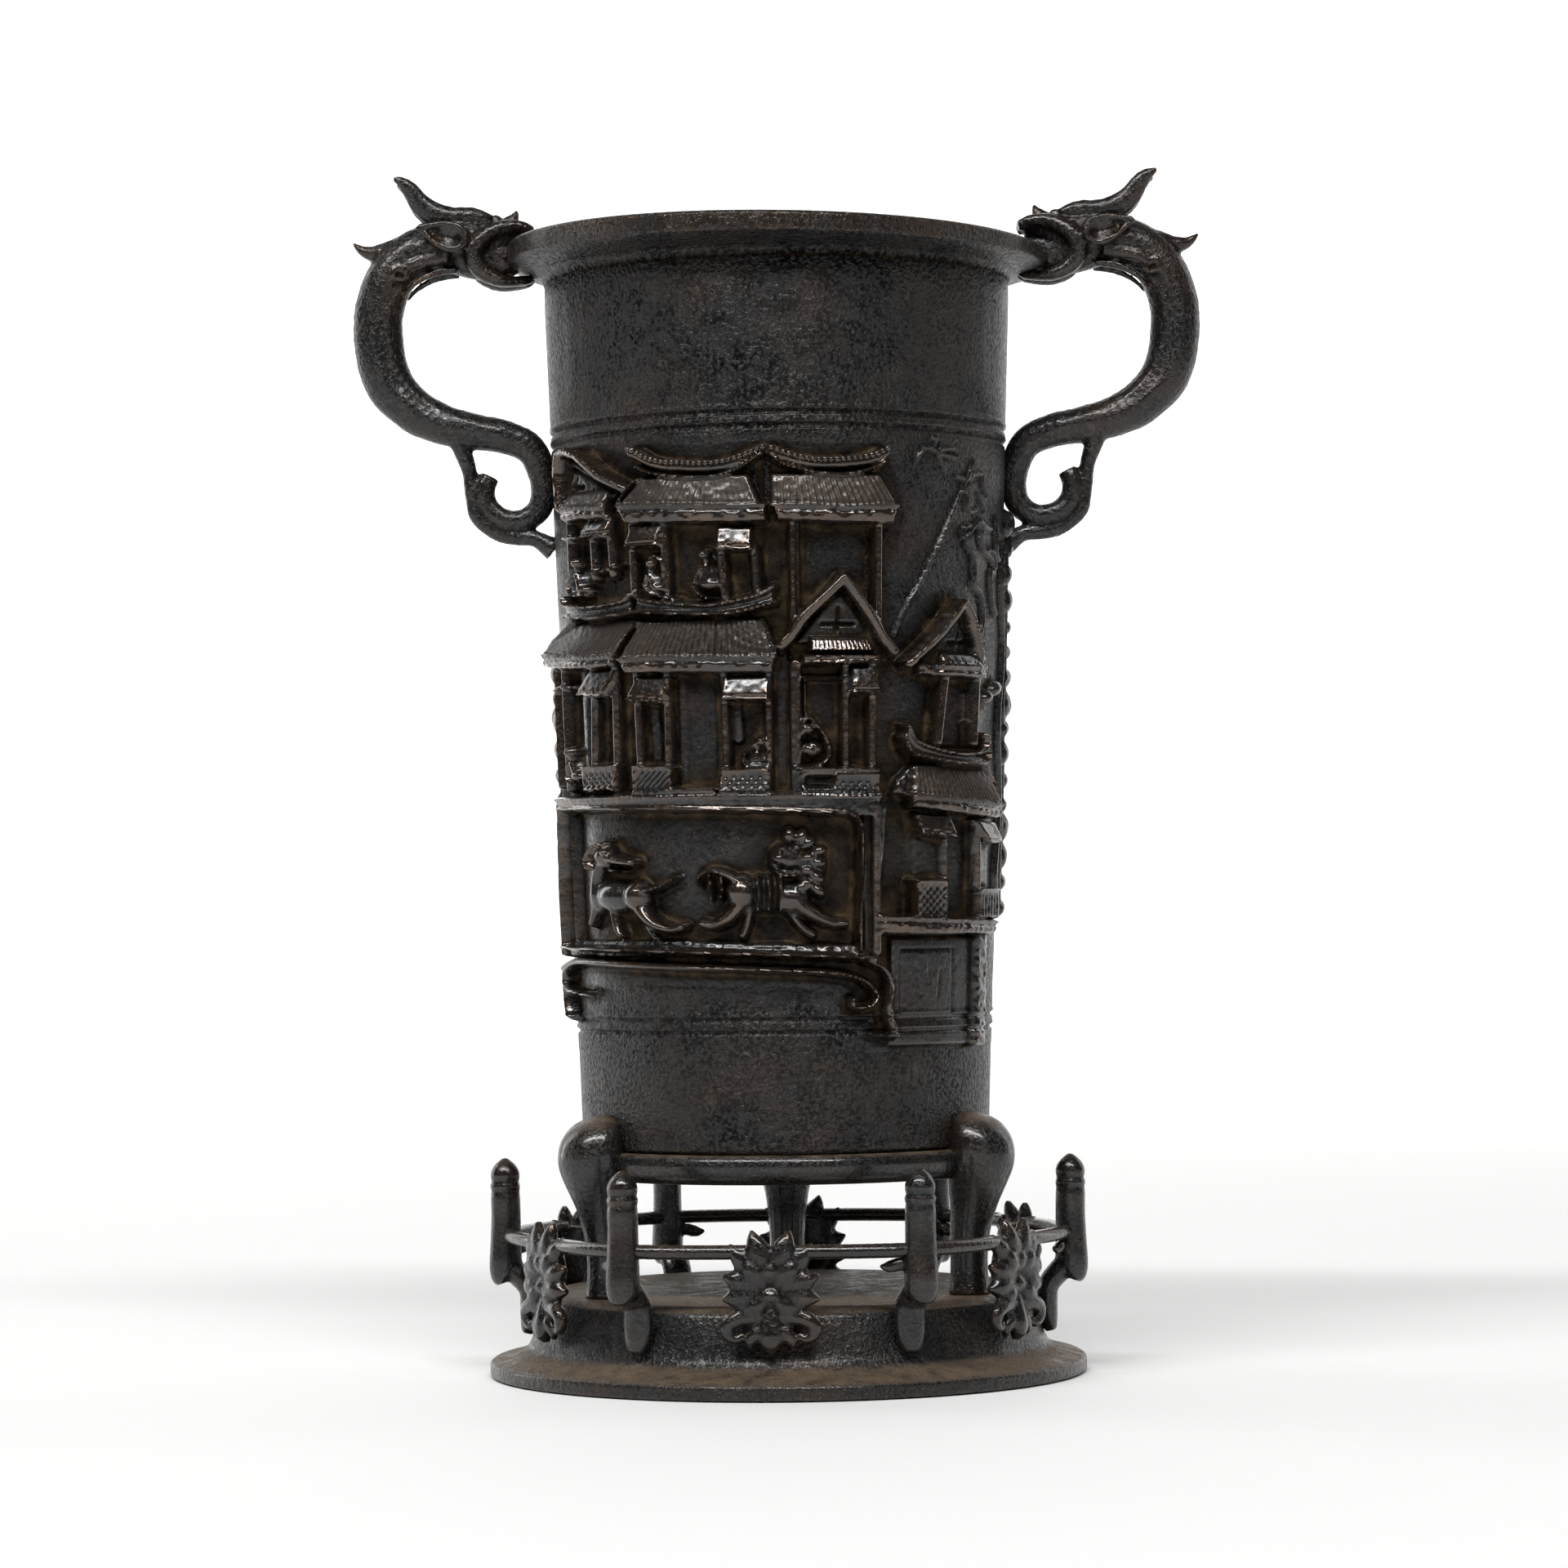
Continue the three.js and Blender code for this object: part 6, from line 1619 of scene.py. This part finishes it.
class VASE_OT_balustrade(bpy.types.Operator):
    """Sets bud posts, rails and lotus heads round the plinth."""

    bl_idname = "vase.balustrade"
    bl_label = "Balustrade"

    def lotus(self):
        """The calyx, the petals round it in pairs and the scrolled leaf of a lotus head."""
        parts = [
            petal([(0, 6.6, 0.0, 2.6), (0, 5.0, 0.1, 3.7), (0, 3.0, 0.1, 4.2), (0, 1.0, 0.2, 3.6),
                   (0, -0.8, 0.3, 2.4)], 0.8),
            petal([(0, 3.0, 0.9, 0.7), (0, 4.2, 1.5, 1.0), (0, 5.2, 1.4, 0.8), (0, 6.3, 1.0, 0.12)],
                  0.8),
            petal([(0, 2.6, 1.0, 0.8), (0, 1.6, 1.5, 0.9), (0, 0.7, 1.2, 0.35)], 0.7),
            petal([(0, 0.4, 0.6, 1.0), (0, -1.4, 1.1, 1.3), (0, -3.0, 1.4, 1.5),
                   (0, -4.3, 1.2, 1.1), (0, -5.0, 0.9, 0.4)], 0.9),
        ]
        for half in (-1, 1):
            parts += [petal([(half * a, h, out, wide * 1.2) for a, h, out, wide in shape], thick)
                      for shape, thick in (
                (((0.2, 3.4, 0.6, 0.9), (0.9, 5.2, 1.1, 1.5), (1.5, 7.0, 1.1, 1.2),
                  (1.95, 8.2, 0.9, 0.7), (2.2, 9.2, 0.7, 0.1)), 0.9),
                (((0.6, 3.4, 0.6, 0.9), (2.2, 4.8, 0.9, 1.35), (3.5, 6.0, 0.9, 1.0),
                  (4.3, 6.9, 0.7, 0.55), (4.8, 7.6, 0.5, 0.1)), 0.9),
                (((0.6, 3.0, 0.9, 0.8), (1.5, 3.9, 1.4, 1.1), (2.5, 5.0, 1.4, 0.85),
                  (3.1, 5.9, 1.1, 0.1)), 0.8),
                (((0.6, 2.8, 0.7, 0.8), (2.4, 3.1, 1.1, 1.25), (4.2, 3.5, 1.0, 0.95),
                  (5.6, 4.0, 0.7, 0.12)), 0.9),
                (((0.5, 2.3, 0.6, 0.8), (2.4, 1.7, 1.1, 1.2), (4.2, 1.4, 1.0, 1.0),
                  (5.7, 1.2, 0.6, 0.15)), 0.9),
                (((0.5, 1.6, 0.9, 0.7), (1.9, 0.6, 1.3, 1.0), (3.3, -0.1, 1.1, 0.8),
                  (4.2, -0.3, 0.8, 0.12)), 0.8),
                # Scrolled leaf under the head
                (((0.2, -0.6, 0.6, 0.7), (1.8, -0.7, 1.0, 0.85), (3.6, -0.9, 1.2, 0.85),
                  (4.9, -1.7, 1.2, 0.75), (4.9, -2.9, 1.1, 0.6), (3.8, -3.3, 1.0, 0.5),
                  (3.2, -2.6, 0.9, 0.3)), 0.9),
                (((0.3, -2.0, 0.8, 0.7), (1.6, -2.6, 1.1, 0.8), (2.4, -3.8, 1.0, 0.5),
                  (2.2, -4.6, 0.8, 0.12)), 0.8),
            )]
        return parts

    def post(self):
        """A bud post with its bent foot and the leaf that leans on it."""
        circle = POST_CIRCLE
        up = [
            (circle - 0.2, 0.9, 1.3), (circle, 1.5, 1.85), (circle + 0.05, 3.0, 2.0),
            (circle, 6.0, 1.88), (circle - 0.05, 9.0, 1.8), (circle, 11.6, 1.78),
            (circle, 11.9, 1.45), (circle, 12.15, 1.78), (circle, 12.7, 1.85),
            (circle, 12.95, 1.45), (circle, 13.2, 1.7), (circle, 14.0, 1.8), (circle, 14.9, 1.45),
            (circle, 15.6, 0.75), (circle, 16.0, 0.2),
        ]
        finger = limb([(*ring_place(r, z), w, w) for r, z, w in up], (1, 0, 0), 24, 4)
        foot = [(31.9, -5.4, 0.7, 1.0), (31.6, -4.2, 1.1, 1.6), (31.5, -2.2, 1.2, 1.9),
                (31.6, 0.0, 1.3, 1.9), (32.8, 1.6, 1.4, 1.9), (34.0, 2.8, 1.4, 1.7)]
        stem = limb([(*ring_place(r, z), w, d) for r, z, w, d in foot], (1, 0, 0), 20, 5)
        leaf = petal([(-1.2, 5.4, 2.2, 0.4), (-2.2, 5.0, 2.0, 0.8), (-3.4, 4.7, 1.6, 0.7),
                      (-4.3, 4.8, 1.2, 0.2)], 0.8)
        return [finger, stem, leaf]

    def execute(self, context):
        sizes = context.scene.vase_sizes
        step = 2 * math.pi / sizes.posts
        tree = ring_tree()
        coat = finish_for("bronze_balustrade_patina")
        for name, parts, turn in (("lotus_heads", self.lotus(), sizes.ring_turn),
                                  ("bud_posts", self.post(), sizes.ring_turn + step / 2)):
            piece = fused(name, parts, RING_VOXEL, 2)
            shade(weather(piece, 6, 0.1), 80)
            run_nodes(piece, tree, {"Copies": sizes.posts, "Turn": turn, "Material": coat})
            finished(piece, "bronze_balustrade_patina", "balustrade_bronze", "balustrade")

        # Rails run inward from both sides of a post, nearly to the lotus heads
        half = step / 2
        rails = []
        for side in (1, -1):
            bar = []
            for share in np.linspace(0, 1, 5):
                angle = half * share * 0.86
                radius = POST_CIRCLE - 0.4 - 2.2 * share
                bar.append((side * (radius * math.sin(angle)), -radius * math.cos(angle),
                            PLINTH_TOP + RAIL_HEIGHT, 0.88, 0.88))
            rails.append(limb(bar, (0, 0, 1), 14, 3))
        piece = fused("rails", rails, RAIL_VOXEL, 1)
        weather(piece, 6, 0.12)
        run_nodes(piece, tree, {"Copies": sizes.posts, "Turn": sizes.ring_turn + half,
                                "Material": coat})
        shade(piece, 80)
        finished(piece, "bronze_balustrade_patina", "balustrade_bronze", "balustrade")
        return {"FINISHED"}


class VASE_OT_stage(bpy.types.Operator):
    """Lays the pale floor and sets the soft lights and the camera."""

    bl_idname = "vase.stage"
    bl_label = "Stage"

    def floor(self, context):
        """A sheet of paper that runs back and curves up far behind the vase."""
        half, near, far, bend, high = 2.6, -1.6, 2.0, 0.6, 2.6
        section = [(near, 0), (far, 0)]
        section += [(far + bend * math.sin(t), bend - bend * math.cos(t))
                    for t in np.linspace(0.1, math.pi / 2, 12)]
        section.append((far + bend, high))
        mesh = bpy.data.meshes.new("paper_floor")
        points = [(x, y, z) for y, z in section for x in (-half, half)]
        faces = [(2 * i, 2 * i + 1, 2 * i + 3, 2 * i + 2) for i in range(len(section) - 1)]
        mesh.from_pydata(points, [], faces)
        mesh.materials.append(finish_for("paper_floor"))
        mesh.polygons.foreach_set("use_smooth", [True] * len(mesh.polygons))
        sweep = bpy.data.objects.new("paper_floor", mesh)
        context.scene.collection.objects.link(sweep)

    def lamp(self, context, name, place, aim, size, power):
        """An area light in metres and watts."""
        light = bpy.data.lights.new(name, "AREA")
        light.shape = "RECTANGLE"
        light.size, light.size_y = size
        light.energy = power
        lamp = bpy.data.objects.new(name, light)
        lamp.location = place
        lamp.rotation_euler = (Vector(aim) - Vector(place)).to_track_quat("-Z", "Y").to_euler()
        context.scene.collection.objects.link(lamp)

    def camera(self, context):
        """The photograph's view: ten of its pixels are a millimetre in the plane of the axis."""
        distance, eye, focal_pixels, frame_pixels = 562.0, 56.4, 5650.0, 1920.0
        # Rows and columns of the eye level, the vase's axis and its foot, and the axis's lean
        eye_row, axis_column, foot_row, lean = 1110, 966, 1674, 0.0117
        middle = frame_pixels / 2
        pitch = math.atan2(eye_row - middle, focal_pixels)
        roll = math.atan(lean)
        across = (middle - axis_column) / 10 + lean * (foot_row - middle) / 10
        data = bpy.data.cameras.new("camera")
        data.sensor_width = 36
        data.lens = 36 * focal_pixels / frame_pixels
        data.clip_start = 0.01
        camera = bpy.data.objects.new("camera", data)
        view = Matrix.Rotation(math.pi / 2 + pitch, 4, "X") @ Matrix.Rotation(-roll, 4, "Z")
        camera.matrix_world = Matrix.Translation(Vector((across, -distance, eye)) * MM) @ view
        context.scene.collection.objects.link(camera)
        context.scene.camera = camera

    def execute(self, context):
        self.floor(context)
        middle = (0, 0, 0.07)
        for name, place, aim, size, power in (
                ("left_softbox", (-0.8, 0.5, 0.35), middle, (0.3, 0.9), 2.6),
                ("right_softbox", (0.8, 0.5, 0.35), middle, (0.3, 0.9), 1.5),
                ("front_softbox", (-0.14, -0.68, 0.9), middle, (1.4, 0.12), 14.5),
                ("paper_light", (0, 1.3, 1.6), (0, 2.4, 0.6), (2.4, 0.8), 60)):
            self.lamp(context, name, place, aim, size, power)
        world = bpy.data.worlds.new("studio")
        context.scene.world = world
        world.use_nodes = True
        background = world.node_tree.nodes["Background"]
        background.inputs["Color"].default_value = (0.94, 0.97, 1.0, 1)
        background.inputs["Strength"].default_value = 0.06
        context.scene.view_settings.view_transform = "Standard"
        self.camera(context)
        return {"FINISHED"}


PIECES = (
    VASE_OT_beaker, VASE_OT_relief, VASE_OT_ridge_beads, VASE_OT_dragon_handles,
    VASE_OT_tripod_stand, VASE_OT_plinth, VASE_OT_balustrade, VASE_OT_stage,
)


class VASE_PT_pieces(bpy.types.Panel):
    """Lists the vase's pieces, sizes and colours."""

    bl_idname = "VASE_PT_pieces"
    bl_label = "Incense Tool Vase"
    bl_space_type = "VIEW_3D"
    bl_region_type = "UI"
    bl_category = "Vase"

    def draw(self, context):
        for kind in PIECES:
            self.layout.operator(kind.bl_idname)
        for group in (context.scene.vase_sizes, context.scene.vase_colours):
            box = self.layout.box()
            for name in group.__annotations__:
                box.prop(group, name)


CLASSES = (VaseSizes, VaseColours, *PIECES, VASE_PT_pieces)


def register():
    for kind in CLASSES:
        bpy.utils.register_class(kind)
    bpy.types.Scene.vase_sizes = bpy.props.PointerProperty(type=VaseSizes)
    bpy.types.Scene.vase_colours = bpy.props.PointerProperty(type=VaseColours)


def unregister():
    del bpy.types.Scene.vase_colours
    del bpy.types.Scene.vase_sizes
    for kind in reversed(CLASSES):
        bpy.utils.unregister_class(kind)


def main():
    """Registers the add-on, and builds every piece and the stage."""
    register()
    for kind in PIECES:
        group, name = kind.bl_idname.split(".")
        getattr(getattr(bpy.ops, group), name)()


if __name__ == "__main__":
    main()
